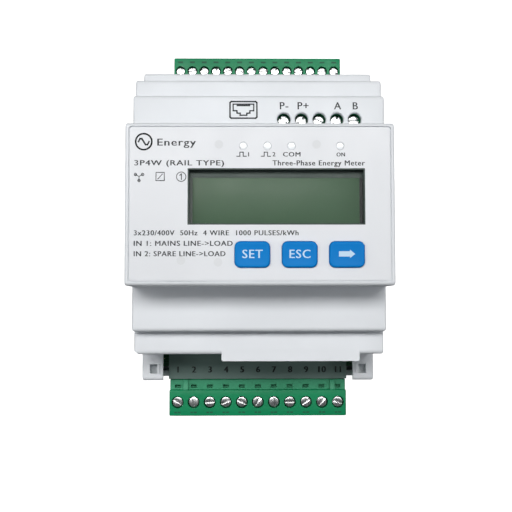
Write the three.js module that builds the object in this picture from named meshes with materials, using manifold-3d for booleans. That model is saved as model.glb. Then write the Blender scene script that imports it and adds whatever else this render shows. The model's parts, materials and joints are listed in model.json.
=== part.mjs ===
// A three-phase smart meter that snaps onto a 35 mm rail, with plug-in terminal strips.
// Millimetres. +X is right, +Z is up, and the front faces -Y.
// The origin is the middle of the rail seat, the back face that rests against the rail.

import * as THREE from 'three';
import { mergeVertices } from 'three/addons/utils/BufferGeometryUtils.js';
import Module from 'manifold-3d';

const wasm = await Module();
wasm.setup();

// Overall sizes: depths are measured forwards from the rail seat, heights from the rail's middle.
const housingWidth = 72;
const seatToNose = 60;
const seatToShoulder = 44;
const seatToSeam = 38.8;
const seatToLedge = 18.5;
const footDepth = 5.5;
const noseHalfHeight = 21.8;
const shoulderTop = 33.1;
const shoulderBottom = -34.4;
const bodyTop = 38.9;
const bodyBottom = -41.1;
const ledgeTop = 46.4;
const ledgeBottom = -50.4;

// Walls, edges and clearances.
const wall = 1.8;
const backWall = 2;
const edgeRadius = 1.2;
const endBevel = 0.6;
const gap = 0.3;
const seatGap = 0.05;
const overcut = 1;

// Rail channel and the sliding clip.
const railHalfHeight = 17.5;
const railFit = 0.2;
const railLip = 1.3;
const hookDepth = 2;
const hookReach = 1.5;
const hookRamp = 2.4;
const seatRelief = 0.4;
const seatReliefHeight = 2.4;
const clipHalfWidth = 6;
const clipThickness = 2.6;
const clipPull = 4.1;
const clipChamfer = 1.2;
const clipHoleHalfWidth = 2.5;
const clipHoleHeight = 1.8;
const clipHoleMargin = 1.4;
const springTop = -27.3;
const springBottom = -41.2;
const springRadius = 1.1;
const springWire = 0.2;
const springTurns = 8;
const springSlot = 1.2;
const pegHeight = 2;

// Printed film, display window, buttons and indicator lights, placed on the nose.
const filmMargin = 1;
const filmRecess = 0.5;
const filmThickness = 0.35;
const filmCorner = 0.8;
const windowLeft = -19.3;
const windowRight = 28;
const windowTop = 9.5;
const windowBottom = -5.6;
const paneLap = 1.5;
const paneThickness = 0.8;
const glassThickness = 1.8;
const backlightThickness = 1.5;
const buttonWidth = 9.4;
const buttonHeight = 7;
const buttonCorner = 1.6;
const buttonProud = 0.9;
const buttonTravel = 0.8;
const buttonFit = 0.25;
const buttonFlange = 1;
const flangeThickness = 1;
const stemRadius = 1.6;
const buttonsMiddleX = 10.45;
const buttonPitch = 12.55;
const buttonsZ = -13.55;
const switchSide = 6;
const switchHeight = 1.9;
const plungerRadius = 1.5;
const plungerHeight = 0.6;
const lightXs = [-4.5, 2, 8.4, 21.4];
const lightZ = 15.5;
const lightRadius = 0.95;
const lightFit = 0.15;
const guideBarDepth = 1.4;
const guideBarHeight = 3;

// Boards and what stands on them.
const boardThickness = 1.6;
const boardMargin = 0.8;
const boardBoss = 1;
const bossRadius = 2.5;
const mainBoardTop = 43.4;
const mainBoardBottom = -47;
const terminalBoardDepth = 24.4;
const terminalBoardLeft = -15;
const terminalBoardBottom = -4;
const postRadius = 1.6;
const postInset = 2.6;

// Parts that stand on the main board.
const transformerSide = 26;
const transformerRight = 0;
const transformerTop = -9;
const transformerHeight = 25;
const capacitorX = 11;
const capacitorZ = -24;
const capacitorRadius = 6.5;
const capacitorHeight = 21;
const cellX = 26;
const cellZ = -27;
const cellRadius = 6.2;
const cellHeight = 5.5;
const linkFromSide = 4;
const linkThickness = 0.9;
const linkHeight = 14;
const linkConnector = 4;

// Auxiliary terminals and the network socket.
const auxWays = 5;
const auxPitch = 5.08;
const auxFirstX = 7.15;
const auxZ = 26.2;
const driverHoleRadius = 1.93;
const auxWellRadius = 1.95;
const auxScrewRadius = 1.65;
const auxBlockBelow = 5.7;
const auxNoseAbove = 4.5;
const auxEntryBelow = 2;
const auxEntryWall = 1;
const jackX = -4.3;
const jackWidth = 16;
const jackLength = 20;
const jackFit = 0.15;
const jackSunk = 0.3;
const socketWidth = 11.8;
const socketHeight = 6.9;
const socketDepth = 12;
const socketFloor = 1.2;
const latchWidth = 6;
const latchHeight = 1.6;
const entryWidth = 3.8;
const entryDepth = 4.2;

// Plug-in terminal strips: "out" is measured away from the rail's middle.
const topStrip = {
  side: 1, ways: 14, pitch: 3.81, endWall: 0.17,
  bodyFrom: 44.3, bodyTo: 52.7, front: 13.6, back: 2.5,
  neckFrom: 44.3, neckFront: 11.2, neckBack: 4.9,
  headerLength: 9.2, headerHeight: 7.3, headerEnd: 0.9, headerWall: 0.9, tongueLength: 6,
  screwOut: 48.5, wellRadius: 1.6, screwRadius: 1.35, entryWidth: 2.6, entryDepth: 3,
};
const bottomStrip = {
  side: -1, ways: 11, pitch: 5.08, endWall: 0.05,
  bodyFrom: 53.8, bodyTo: 62, front: 13.6, back: -0.8,
  neckFrom: 50.7, neckFront: 11.8, neckBack: 1,
  headerLength: 12, headerHeight: 8.6, headerEnd: 0.25, headerWall: 1.2, tongueLength: 8.5,
  screwOut: 57.7, wellRadius: 1.9, screwRadius: 1.65, entryWidth: 3.9, entryDepth: 3.8,
};
const screwSunk = 0.7;
const screwHead = 1.6;
const screwShank = 0.95;
const screwLength = 4;
const screwSlotWidth = 0.55;
const screwSlotDepth = 0.7;
const screwChamfer = 0.25;
const firstSlotAngle = 0.4;
const slotAngleStep = 1.1;
const entryLength = 7;
const headerMouthGap = 0.3;
const pinHalf = 0.4;
const pinSunk = 2;

// Lower edge details of the rear housing.
const lipLeft = -10.8;
const lipRight = 29;
const lipDrop = 2;
const cornerCutWidth = 2.4;
const cornerCutHeight = 1.2;
const snapHalfWidth = 1.15;
const snapHalfHeight = 1.4;
const snapFromSide = 3.5;
const snapFromEnd = 3.6;
const hookWidth = 0.9;
const hookProud = 0.5;
const recessMargin = 1.4;

// Lengths that follow from the sizes above.
const halfWidth = housingWidth / 2;
const innerHalfWidth = halfWidth - wall;
const noseInner = seatToNose - wall;
const filmFront = seatToNose - seatGap;
const filmBack = filmFront - filmThickness;
const paneFront = noseInner - seatGap;
const paneBack = paneFront - paneThickness;
const glassFront = paneBack - gap;
const glassBack = glassFront - glassThickness;
const backlightBack = glassBack - gap - backlightThickness;
const displayBoardFront = backlightBack - gap;
const displayBoardBack = displayBoardFront - boardThickness;
const mainBoardFront = backWall + boardBoss + seatGap + boardThickness;
const terminalBoardFront = terminalBoardDepth + boardThickness;
const bodyFrontInner = seatToSeam - wall;
const shelfFront = bodyFrontInner - gap;
const auxFront = seatToShoulder - wall - gap;
const railHalf = railHalfHeight + railFit;
const clipFront = railLip + 0.1;
const clipBack = clipFront + clipThickness;
const buttonXs = [-1, 0, 1].map((step) => buttonsMiddleX + step * buttonPitch);
const auxXs = Array.from({ length: auxWays }, (_, way) => auxFirstX + way * auxPitch);

const group = new THREE.Group();

// Turns a closed geometry into a solid that can be joined and cut.
function solidFrom(geometry) {
  geometry.deleteAttribute('normal');
  geometry.deleteAttribute('uv');
  const merged = mergeVertices(geometry, 1e-4);
  const mesh = new wasm.Mesh({
    numProp: 3,
    vertProperties: merged.attributes.position.array,
    triVerts: new Uint32Array(merged.index.array),
  });
  return new wasm.Manifold(mesh);
}

// Adds a solid to the model as a named mesh with its own material.
function addPiece(name, solid, color, roughness, metalness = 0) {
  const { vertProperties, triVerts } = solid.getMesh();
  const geometry = new THREE.BufferGeometry();
  geometry.setAttribute('position', new THREE.BufferAttribute(vertProperties, 3));
  geometry.setIndex(new THREE.BufferAttribute(triVerts, 1));
  geometry.computeVertexNormals();
  const material = new THREE.MeshStandardMaterial({ color, roughness, metalness });
  const mesh = new THREE.Mesh(geometry, material);
  mesh.name = name;
  group.add(mesh);
}

// A box between two values on each axis, given in either order.
function block(xs, ys, zs) {
  const spans = [xs, ys, zs];
  const size = spans.map(([from, to]) => Math.abs(to - from));
  const centre = spans.map(([from, to]) => (from + to) / 2);
  return solidFrom(new THREE.BoxGeometry(...size).translate(...centre));
}

// A cylinder along the depth, between two distances in front of the seat.
function peg(x, z, radius, from, to, segments = 16) {
  const geometry = new THREE.CylinderGeometry(radius, radius, Math.abs(to - from), segments);
  return solidFrom(geometry.translate(x, -(from + to) / 2, z));
}

// An outline through corners [a, b, radius], each rounded by its own radius.
function outline(corners) {
  const shape = new THREE.Shape();
  const count = corners.length;
  corners.forEach(([a, b, radius = 0], index) => {
    const corner = new THREE.Vector2(a, b);
    const toBefore = new THREE.Vector2(...corners[(index + count - 1) % count].slice(0, 2));
    const toAfter = new THREE.Vector2(...corners[(index + 1) % count].slice(0, 2));
    const start = toBefore.sub(corner).setLength(radius).add(corner);
    const end = toAfter.sub(corner).setLength(radius).add(corner);
    if (index === 0) shape.moveTo(start.x, start.y);
    else shape.lineTo(start.x, start.y);
    if (radius > 0) shape.quadraticCurveTo(corner.x, corner.y, end.x, end.y);
  });
  shape.closePath();
  return shape;
}

// Extrudes a (y, z) outline across the width, with bevelled ends if a bevel is given.
function sideSection(corners, from, to, bevel = 0) {
  const geometry = new THREE.ExtrudeGeometry(outline(corners), {
    depth: to - from - 2 * bevel,
    curveSegments: 3,
    bevelEnabled: bevel > 0,
    bevelSize: bevel,
    bevelThickness: bevel,
    bevelOffset: -bevel,
    bevelSegments: 2,
  });
  const acrossWidth = new THREE.Matrix4().makeBasis(
    new THREE.Vector3(0, 1, 0),
    new THREE.Vector3(0, 0, 1),
    new THREE.Vector3(1, 0, 0),
  );
  return solidFrom(geometry.applyMatrix4(acrossWidth).translate(from + bevel, 0, 0));
}

// A plate with rounded corners, facing the front, between two depths.
function plate(xs, zs, radius, from, to) {
  const [left, right] = xs;
  const [bottom, top] = zs;
  const corners = [[left, bottom, radius], [right, bottom, radius],
    [right, top, radius], [left, top, radius]];
  const geometry = new THREE.ExtrudeGeometry(outline(corners), {
    depth: Math.abs(to - from),
    curveSegments: 4,
    bevelEnabled: false,
  });
  const facingFront = new THREE.Matrix4().makeBasis(
    new THREE.Vector3(1, 0, 0),
    new THREE.Vector3(0, 0, 1),
    new THREE.Vector3(0, -1, 0),
  );
  return solidFrom(geometry.applyMatrix4(facingFront).translate(0, -Math.min(from, to), 0));
}

// A slotted clamp screw, turned about its own axis along the depth.
function clampScrew(x, z, radius, front, slotAngle) {
  const under = -screwHead;
  const profile = [[0, -screwLength], [screwShank, -screwLength], [screwShank, under],
    [radius, under], [radius, -screwChamfer], [radius - screwChamfer, 0], [0, 0]]
    .map(([r, height]) => new THREE.Vector2(r, height));
  const turned = solidFrom(new THREE.LatheGeometry(profile, 10));
  const slot = new THREE.BoxGeometry(3 * radius, 2 * screwSlotDepth, screwSlotWidth);
  const cut = turned.subtract(solidFrom(slot));
  const geometry = new THREE.BufferGeometry();
  const { vertProperties, triVerts } = cut.getMesh();
  geometry.setAttribute('position', new THREE.BufferAttribute(vertProperties, 3));
  geometry.setIndex(new THREE.BufferAttribute(triVerts, 1));
  geometry.rotateY(slotAngle);
  geometry.rotateX(Math.PI);
  geometry.translate(x, -front, z);
  return solidFrom(geometry);
}

// Positions of the ways of a strip, centred on the middle of the meter.
function wayXs({ ways, pitch }) {
  return Array.from({ length: ways }, (_, way) => (way - (ways - 1) / 2) * pitch);
}

// Front cover: the nose with the shoulders above and below it, open at the back.
function makeFrontCover() {
  const seam = -seatToSeam;
  let cover = sideSection([
    [seam + overcut, shoulderBottom],
    [-seatToShoulder, shoulderBottom, edgeRadius],
    [-seatToShoulder, -noseHalfHeight],
    [-seatToNose, -noseHalfHeight, edgeRadius],
    [-seatToNose, noseHalfHeight, edgeRadius],
    [-seatToShoulder, noseHalfHeight],
    [-seatToShoulder, shoulderTop, edgeRadius],
    [seam + overcut, shoulderTop],
  ], -halfWidth, halfWidth, endBevel);
  const reach = [-halfWidth - overcut, halfWidth + overcut];
  cover = cover.subtract(block(reach, [seam - seatGap, seam + 2 * overcut],
    [shoulderBottom - overcut, shoulderTop + overcut]));
  const across = [-innerHalfWidth, innerHalfWidth];
  cover = cover.subtract(block(across, [-noseInner, seam + overcut],
    [-noseHalfHeight + wall, noseHalfHeight - wall]));
  cover = cover.subtract(block(across, [-seatToShoulder + wall, seam + overcut],
    [shoulderBottom + wall, shoulderTop - wall]));
  const recess = plate([-halfWidth + filmMargin - seatGap, halfWidth - filmMargin + seatGap],
    [-noseHalfHeight + filmMargin - seatGap, noseHalfHeight - filmMargin + seatGap],
    filmCorner, seatToNose - filmRecess, seatToNose + overcut);
  cover = cover.subtract(recess);
  const through = [noseInner - overcut, seatToNose + overcut];
  cover = cover.subtract(block([windowLeft, windowRight], through.map((depth) => -depth),
    [windowBottom, windowTop]));
  for (const x of buttonXs) cover = cover.subtract(buttonPlate(x, buttonFit, ...through));
  for (const x of lightXs) {
    cover = cover.subtract(peg(x, lightZ, lightRadius + lightFit, ...through, 12));
  }
  for (const x of auxXs) {
    const driverWay = [seatToShoulder - wall - overcut, seatToShoulder + overcut];
    cover = cover.subtract(peg(x, auxZ, driverHoleRadius, ...driverWay, 20));
  }
  for (const [x, z] of displayPosts()) {
    cover = cover.add(peg(x, z, postRadius, displayBoardFront + seatGap, noseInner + seatGap, 10));
  }
  return cover;
}

// A button outline, grown by a fit, between two depths.
function buttonPlate(x, grow, from, to) {
  const halfX = buttonWidth / 2 + grow;
  const halfZ = buttonHeight / 2 + grow;
  return plate([x - halfX, x + halfX], [buttonsZ - halfZ, buttonsZ + halfZ],
    buttonCorner + grow, from, to);
}

// Corner posts between the nose and the display board.
function displayPosts() {
  const x = innerHalfWidth - boardMargin - postInset;
  const z = noseHalfHeight - wall - boardMargin - postInset;
  return [[-x, -z], [x, -z], [-x, z], [x, z]];
}

// Corner posts between the rear housing and the terminal board.
function terminalPosts() {
  const right = innerHalfWidth - boardMargin - postInset;
  const left = terminalBoardLeft + postInset;
  const top = headerSpan(topStrip)[0] - postRadius - 2 * gap;
  const bottom = terminalBoardBottom + postInset;
  return [[left, bottom], [right, bottom], [left, top], [right, top]];
}

// Bosses under the main board, at its edges where no post passes.
function mainBoardBosses() {
  const x = innerHalfWidth - boardMargin - bossRadius;
  return [[-x, mainBoardTop - bossRadius], [x, mainBoardTop - bossRadius],
    [-x, 0], [-x, mainBoardBottom + bossRadius], [x, mainBoardBottom + bossRadius]];
}

// Rear housing: the stepped shell with the rail channel and both terminal recesses.
function makeRearHousing() {
  const recessHalf = stripHalfWidth(bottomStrip) + bottomStrip.headerEnd + recessMargin;
  let shell = sideSection([
    [footDepth, ledgeTop, edgeRadius],
    [-seatToLedge, ledgeTop, edgeRadius],
    [-seatToLedge, bodyTop],
    [-seatToSeam, bodyTop, edgeRadius],
    [-seatToSeam, bodyBottom, edgeRadius],
    [-seatToLedge, bodyBottom],
    [-seatToLedge, ledgeBottom, edgeRadius],
    [footDepth, ledgeBottom, edgeRadius],
  ], -halfWidth, halfWidth, endBevel);
  const across = [-innerHalfWidth, innerHalfWidth];
  shell = shell.subtract(block(across, [-bodyFrontInner, -backWall],
    [bodyBottom + wall, bodyTop - wall]));
  shell = shell.subtract(block(across, [-seatToSeam - overcut, -bodyFrontInner + overcut],
    [shoulderBottom + wall, shoulderTop - wall]));
  const behindLedge = [-seatToLedge + wall, -backWall];
  shell = shell.subtract(block(across, behindLedge, [bodyTop - 2 * wall, ledgeTop - wall]));
  shell = shell.subtract(block(across, behindLedge,
    [ledgeBottom - overcut, bodyBottom + 2 * wall]));
  shell = shell.subtract(block([-recessHalf, recessHalf],
    [-seatToLedge - overcut, -seatToLedge + wall + overcut],
    [ledgeBottom - overcut, bodyBottom]));
  const headerFront = mainBoardFront + seatGap + bottomStrip.headerHeight;
  shell = shell.add(block([-innerHalfWidth - seatGap, innerHalfWidth + seatGap],
    [-seatToLedge + wall - seatGap, -headerFront - gap],
    [bodyBottom, bodyBottom + wall]));
  shell = shell.subtract(block([-plugHalfWidth(topStrip) - gap, plugHalfWidth(topStrip) + gap],
    [-topStrip.front - gap, -topStrip.back + gap], [ledgeTop - wall - overcut, ledgeTop + overcut]));
  shell = cutRailChannel(shell);
  shell = hollowFeet(shell);
  shell = cutClipTunnel(shell);
  shell = cutSocketsAbove(shell);
  shell = shapeLowerEdge(shell);
  for (const [x, z] of mainBoardBosses()) {
    const foot = innerBackDepth(z) - seatGap;
    shell = shell.add(peg(x, z, bossRadius, foot, backWall + boardBoss, 12));
  }
  for (const [x, z] of terminalPosts()) {
    const foot = innerBackDepth(z) - seatGap;
    shell = shell.add(peg(x, z, postRadius, foot, terminalBoardDepth - seatGap, 10));
  }
  return shell;
}

// Depth of the back wall's inner face at a height: the feet are hollow behind the rail seat.
function innerBackDepth(z) {
  return Math.abs(z) > railHalf + wall ? wall - footDepth : backWall;
}

// The channel that takes the rail, with the fixed hook above it. The seat is relieved
// behind the hook and behind the clip's tip, so nothing overhangs the seat itself.
function cutRailChannel(shell) {
  const behind = footDepth + overcut;
  const seatHalf = railHalf - seatReliefHeight;
  return shell.subtract(sideSection([
    [behind, -railHalf],
    [-seatRelief, -railHalf],
    [-seatRelief, -seatHalf],
    [0, -seatHalf],
    [0, seatHalf],
    [-seatRelief, seatHalf],
    [-seatRelief, railHalf],
    [railLip, railHalf],
    [railLip, railHalf - hookReach],
    [railLip + hookDepth, railHalf - hookReach],
    [behind, railHalf - hookReach + hookRamp],
  ], -halfWidth - overcut, halfWidth + overcut));
}

// Lightens the feet above and below the rail, from the inside.
function hollowFeet(shell) {
  const depth = [-backWall - overcut, footDepth - wall];
  const inner = clipHalfWidth + gap + wall;
  const across = [-innerHalfWidth, innerHalfWidth];
  const upper = shell.subtract(block(across, depth, [railHalf + wall, ledgeTop - wall]));
  const lower = [ledgeBottom + wall, -railHalf - wall];
  const left = upper.subtract(block([-innerHalfWidth, -inner], depth, lower));
  return left.subtract(block([inner, innerHalfWidth], depth, lower));
}

// The tunnel that guides the rail clip, with the peg that its spring stands on.
function cutClipTunnel(shell) {
  const halfX = clipHalfWidth + gap;
  const depth = [clipFront - gap, clipBack + gap];
  const tunnel = block([-halfX, halfX], depth, [ledgeBottom - overcut, -railHalf + overcut]);
  const pegHalf = springRadius + springWire + gap;
  const springPeg = block([-pegHalf, pegHalf], [depth[0] - seatGap, depth[1] + seatGap],
    [springBottom - gap - pegHeight, springBottom - gap]);
  return shell.subtract(tunnel).add(springPeg);
}

// Openings in the upper step for the network socket and the auxiliary wires.
function cutSocketsAbove(shell) {
  const heights = [bodyTop - wall - overcut, bodyTop + overcut];
  const half = jackWidth / 2 + jackFit;
  const jackDepths = [-terminalBoardFront + jackFit, -shelfFront - jackFit];
  let cut = shell.subtract(block([jackX - half, jackX + half], jackDepths, heights));
  const middle = auxEntryDepth();
  for (const x of auxXs) {
    cut = cut.subtract(block([x - entryWidth / 2, x + entryWidth / 2],
      [-middle - entryDepth / 2, -middle + entryDepth / 2], heights));
  }
  return cut;
}

// Depth of the middle of the auxiliary wire entries.
function auxEntryDepth() {
  return shelfFront - auxEntryWall - entryDepth / 2;
}

// The drop lip, the cut corner and the two snap windows at the lower edge.
function shapeLowerEdge(shell) {
  const lip = block([lipLeft, lipRight], [-seatToSeam, -seatToSeam + wall],
    [bodyBottom - lipDrop, bodyBottom + wall]);
  let shaped = shell.add(lip);
  const corner = outline([
    [-halfWidth - overcut, bodyBottom - overcut],
    [-halfWidth + cornerCutWidth, bodyBottom - overcut],
    [-halfWidth + cornerCutWidth, bodyBottom],
    [-halfWidth, bodyBottom + cornerCutHeight],
    [-halfWidth - overcut, bodyBottom + cornerCutHeight],
  ]);
  const cornerGeometry = new THREE.ExtrudeGeometry(corner, {
    depth: seatToSeam - seatToLedge - seatGap + overcut,
    bevelEnabled: false,
  });
  const facingFront = new THREE.Matrix4().makeBasis(
    new THREE.Vector3(1, 0, 0),
    new THREE.Vector3(0, 0, 1),
    new THREE.Vector3(0, -1, 0),
  );
  cornerGeometry.applyMatrix4(facingFront).translate(0, -seatToLedge - seatGap, 0);
  shaped = shaped.subtract(solidFrom(cornerGeometry));
  const tabDepths = [-seatToLedge - overcut, -seatToLedge + wall + overcut];
  const snapZ = ledgeBottom + snapFromEnd;
  for (const side of [-1, 1]) {
    const x = side * (halfWidth - snapFromSide);
    shaped = shaped.subtract(block([x - snapHalfWidth, x + snapHalfWidth], tabDepths,
      [snapZ - snapHalfHeight, snapZ + snapHalfHeight]));
    const hookX = x - side * snapHalfWidth;
    shaped = shaped.add(block([hookX, hookX - side * hookWidth],
      [-seatToLedge - hookProud, -seatToLedge + seatGap],
      [snapZ - snapHalfHeight, snapZ + snapHalfHeight]));
  }
  return shaped;
}

function stripHalfWidth({ ways, pitch }) {
  return ways * pitch / 2;
}

function plugHalfWidth(strip) {
  return stripHalfWidth(strip) + strip.endWall;
}

// Where a strip's header starts and ends, going out.
function headerSpan(strip) {
  const mouth = strip.neckFrom - headerMouthGap;
  return [strip.side * (mouth - strip.headerLength), strip.side * mouth];
}

// Pin header of a strip: a trough on the main board that the plug's tongue enters.
function makeHeader(strip) {
  const half = stripHalfWidth(strip) + strip.headerEnd;
  const back = mainBoardFront + seatGap;
  const front = back + strip.headerHeight;
  const [inner, mouth] = headerSpan(strip);
  const body = block([-half, half], [-front, -back], [inner, mouth]);
  const { headerWall } = strip;
  const trough = block([-half + headerWall, half - headerWall],
    [-front + headerWall, -back - headerWall],
    [mouth - strip.side * (strip.tongueLength + headerWall), mouth + strip.side * overcut]);
  let header = body.subtract(trough);
  const pinFloor = mouth - strip.side * (strip.tongueLength + headerWall + seatGap);
  for (const x of wayXs(strip)) {
    header = header.add(block([x - pinHalf, x + pinHalf],
      [-(front + back) / 2 - pinHalf, -(front + back) / 2 + pinHalf],
      [pinFloor, mouth - strip.side * pinSunk]));
  }
  return header;
}

// Plug of a strip: the screw body, the neck, and the tongue that goes into the header.
function makePlug(strip) {
  const half = plugHalfWidth(strip);
  const { side } = strip;
  let plug = block([-half, half], [-strip.front, -strip.back],
    [side * strip.bodyFrom, side * strip.bodyTo]);
  const neckHalf = stripHalfWidth(strip) - strip.endWall;
  if (strip.neckFrom < strip.bodyFrom) {
    plug = plug.add(block([-neckHalf, neckHalf], [-strip.neckFront, -strip.neckBack],
      [side * strip.neckFrom, side * (strip.bodyFrom + seatGap)]));
  }
  const back = mainBoardFront + seatGap;
  const front = back + strip.headerHeight;
  const inset = strip.headerWall + gap;
  const tongueHalf = stripHalfWidth(strip) + strip.headerEnd - inset;
  const tongueDepths = [-front + inset, -back - inset];
  const tongueEnd = strip.neckFrom - headerMouthGap - strip.tongueLength;
  plug = plug.add(block([-tongueHalf, tongueHalf], tongueDepths,
    [side * tongueEnd, side * (strip.neckFrom + seatGap)]));
  const entryMiddle = (strip.front - screwSunk - screwLength + strip.back) / 2;
  for (const x of wayXs(strip)) {
    plug = plug.subtract(peg(x, side * strip.screwOut, strip.wellRadius,
      strip.front - screwSunk - screwLength - gap, strip.front + overcut, 14));
    plug = plug.subtract(block([x - strip.entryWidth / 2, x + strip.entryWidth / 2],
      [-entryMiddle - strip.entryDepth / 2, -entryMiddle + strip.entryDepth / 2],
      [side * (strip.bodyTo - entryLength), side * (strip.bodyTo + overcut)]));
    plug = plug.subtract(block([x - pinHalf - gap, x + pinHalf + gap],
      [-(front + back) / 2 - pinHalf - gap, -(front + back) / 2 + pinHalf + gap],
      [side * (tongueEnd - overcut), side * strip.neckFrom]));
  }
  return plug;
}

// Auxiliary terminal block: the part in front carries the screws just behind the driver
// holes, and wires enter the part behind it from above.
function makeAuxBlock() {
  const left = auxXs[0] - auxPitch / 2;
  const right = auxXs[auxWays - 1] + auxPitch / 2;
  const top = bodyTop - wall - gap;
  let body = block([left, right], [-shelfFront, -terminalBoardFront - seatGap],
    [auxZ - auxBlockBelow, top]);
  body = body.add(block([left, right], [-auxFront, -shelfFront + seatGap],
    [auxZ - auxBlockBelow, auxZ + auxNoseAbove]));
  const wellEnd = auxFront - screwSunk - screwLength - gap;
  const middle = auxEntryDepth();
  for (const x of auxXs) {
    body = body.subtract(peg(x, auxZ, auxWellRadius, wellEnd, auxFront + overcut, 14));
    body = body.subtract(block([x - entryWidth / 2, x + entryWidth / 2],
      [-middle - entryDepth / 2, -middle + entryDepth / 2], [auxZ - auxEntryBelow, top + overcut]));
  }
  return body;
}

// Network socket: a shielded box that opens upwards through the upper step.
function makeNetworkJack() {
  const half = jackWidth / 2;
  const top = bodyTop - jackSunk;
  const shield = block([jackX - half, jackX + half], [-shelfFront, -terminalBoardFront - seatGap],
    [top - jackLength, top]);
  const floor = -terminalBoardFront - seatGap - socketFloor;
  const heights = [top - socketDepth, top + overcut];
  const socket = block([jackX - socketWidth / 2, jackX + socketWidth / 2],
    [floor - socketHeight, floor], heights);
  const latch = block([jackX - latchWidth / 2, jackX + latchWidth / 2],
    [floor - socketHeight - latchHeight, floor - socketHeight + seatGap], heights);
  return shield.subtract(socket).subtract(latch);
}

// A push button: cap, flange behind the nose wall, and stem over the switch.
function makeButton(x) {
  const flangeFront = noseInner - seatGap;
  const flangeBack = flangeFront - flangeThickness;
  const stemEnd = displayBoardFront + seatGap + switchHeight + plungerHeight
    + buttonTravel + seatGap;
  const cap = buttonPlate(x, 0, flangeFront - seatGap, seatToNose + buttonProud);
  const flange = buttonPlate(x, buttonFlange, flangeBack, flangeFront);
  const stem = peg(x, buttonsZ, stemRadius, stemEnd, flangeBack + seatGap, 12);
  return cap.add(flange).add(stem);
}

// A board switch under a button.
function makeSwitch(x) {
  const base = displayBoardFront + seatGap;
  const half = switchSide / 2;
  const body = block([x - half, x + half], [-base - switchHeight, -base],
    [buttonsZ - half, buttonsZ + half]);
  return body.add(peg(x, buttonsZ, plungerRadius, base + switchHeight - seatGap,
    base + switchHeight + plungerHeight, 12));
}

// One clear moulding that brings four board lights to the front.
function makeLightGuide() {
  const barFront = noseInner - gap;
  const barBack = barFront - guideBarDepth;
  const ends = [lightXs[0] - guideBarHeight / 2, lightXs[lightXs.length - 1] + guideBarHeight / 2];
  let guide = block(ends, [-barFront, -barBack],
    [lightZ - guideBarHeight / 2, lightZ + guideBarHeight / 2]);
  for (const x of lightXs) {
    guide = guide.add(peg(x, lightZ, lightRadius, barFront - seatGap, filmFront, 12));
    guide = guide.add(peg(x, lightZ, lightRadius, displayBoardFront + gap, barBack + seatGap, 8));
  }
  return guide;
}

// Printed film on the nose, with openings for the window, buttons and lights.
function makeFilm() {
  const x = halfWidth - filmMargin - gap;
  const z = noseHalfHeight - filmMargin - gap;
  const through = [filmBack - overcut, filmFront + overcut];
  let film = plate([-x, x], [-z, z], filmCorner, filmBack, filmFront);
  film = film.subtract(block([windowLeft, windowRight], through.map((depth) => -depth),
    [windowBottom, windowTop]));
  for (const buttonX of buttonXs) {
    film = film.subtract(buttonPlate(buttonX, buttonFit, ...through));
  }
  for (const lightX of lightXs) {
    film = film.subtract(peg(lightX, lightZ, lightRadius + lightFit, ...through, 12));
  }
  return film;
}

// A board that faces the front, with clearance holes where posts pass.
function makeBoard(xs, zs, back, holes) {
  let board = block(xs, [-back - boardThickness, -back], zs);
  for (const [x, z] of holes) {
    board = board.subtract(peg(x, z, postRadius + gap, back - overcut,
      back + boardThickness + overcut, 10));
  }
  return board;
}

// Flat link between the main board and the display board, with a connector at each end.
function makeBoardLink() {
  const x = -innerHalfWidth + linkFromSide;
  const from = -mainBoardFront - seatGap;
  const to = -displayBoardBack + seatGap;
  const ribbon = block([x - linkThickness / 2, x + linkThickness / 2], [from, to],
    [-linkHeight / 2, linkHeight / 2]);
  const half = linkConnector / 2;
  const heights = [-linkHeight / 2 - linkThickness, linkHeight / 2 + linkThickness];
  const rear = block([x - half, x + half], [from - linkConnector, from], heights);
  const front = block([x - half, x + half], [to, to + linkConnector], heights);
  return ribbon.add(rear).add(front);
}

// The rail clip: a slider with a chamfered tip, a spring window and a pull hole.
function makeRailClip() {
  const tip = -railHalf + hookReach;
  const end = ledgeBottom - clipPull;
  const plateBody = sideSection([
    [clipFront, end],
    [clipBack, end],
    [clipBack, tip - 2 * clipChamfer],
    [clipBack - clipChamfer, tip],
    [clipFront, tip],
  ], -clipHalfWidth, clipHalfWidth);
  const windowHalf = springRadius + springWire + gap + springSlot;
  const depths = [clipFront - overcut, clipBack + overcut];
  const springWindow = block([-windowHalf, windowHalf], depths,
    [springBottom - 2 * gap - pegHeight, springTop + gap]);
  const pullHole = block([-clipHoleHalfWidth, clipHoleHalfWidth], depths,
    [end + clipHoleMargin, end + clipHoleMargin + clipHoleHeight]);
  return plateBody.subtract(springWindow).subtract(pullHole);
}

// The spring behind the clip, a coil that stands on the housing's peg.
function makeClipSpring() {
  const middle = (clipFront + clipBack) / 2;
  const bottom = springBottom + springWire;
  const height = springTop - springWire - bottom;
  class Coil extends THREE.Curve {
    getPoint(t, target = new THREE.Vector3()) {
      const turn = 2 * Math.PI * springTurns * t;
      return target.set(springRadius * Math.cos(turn), middle + springRadius * Math.sin(turn),
        bottom + height * t);
    }
  }
  const wire = new THREE.Shape().absarc(0, 0, springWire, 0, 2 * Math.PI);
  return solidFrom(new THREE.ExtrudeGeometry(wire, {
    steps: springTurns * 8,
    curveSegments: 3,
    extrudePath: new Coil(),
  }));
}

const housingGrey = 0xe4e8ec;
const terminalGreen = 0x1b8c61;
const buttonBlue = 0x0a74cc;
const boardGreen = 0x1f5a3a;
const steel = 0xc9ccce;

addPiece('rear_housing', makeRearHousing(), housingGrey, 0.5);
addPiece('front_cover', makeFrontCover(), housingGrey, 0.5);
addPiece('front_film', makeFilm(), 0xe1e4e8, 0.4);

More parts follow.
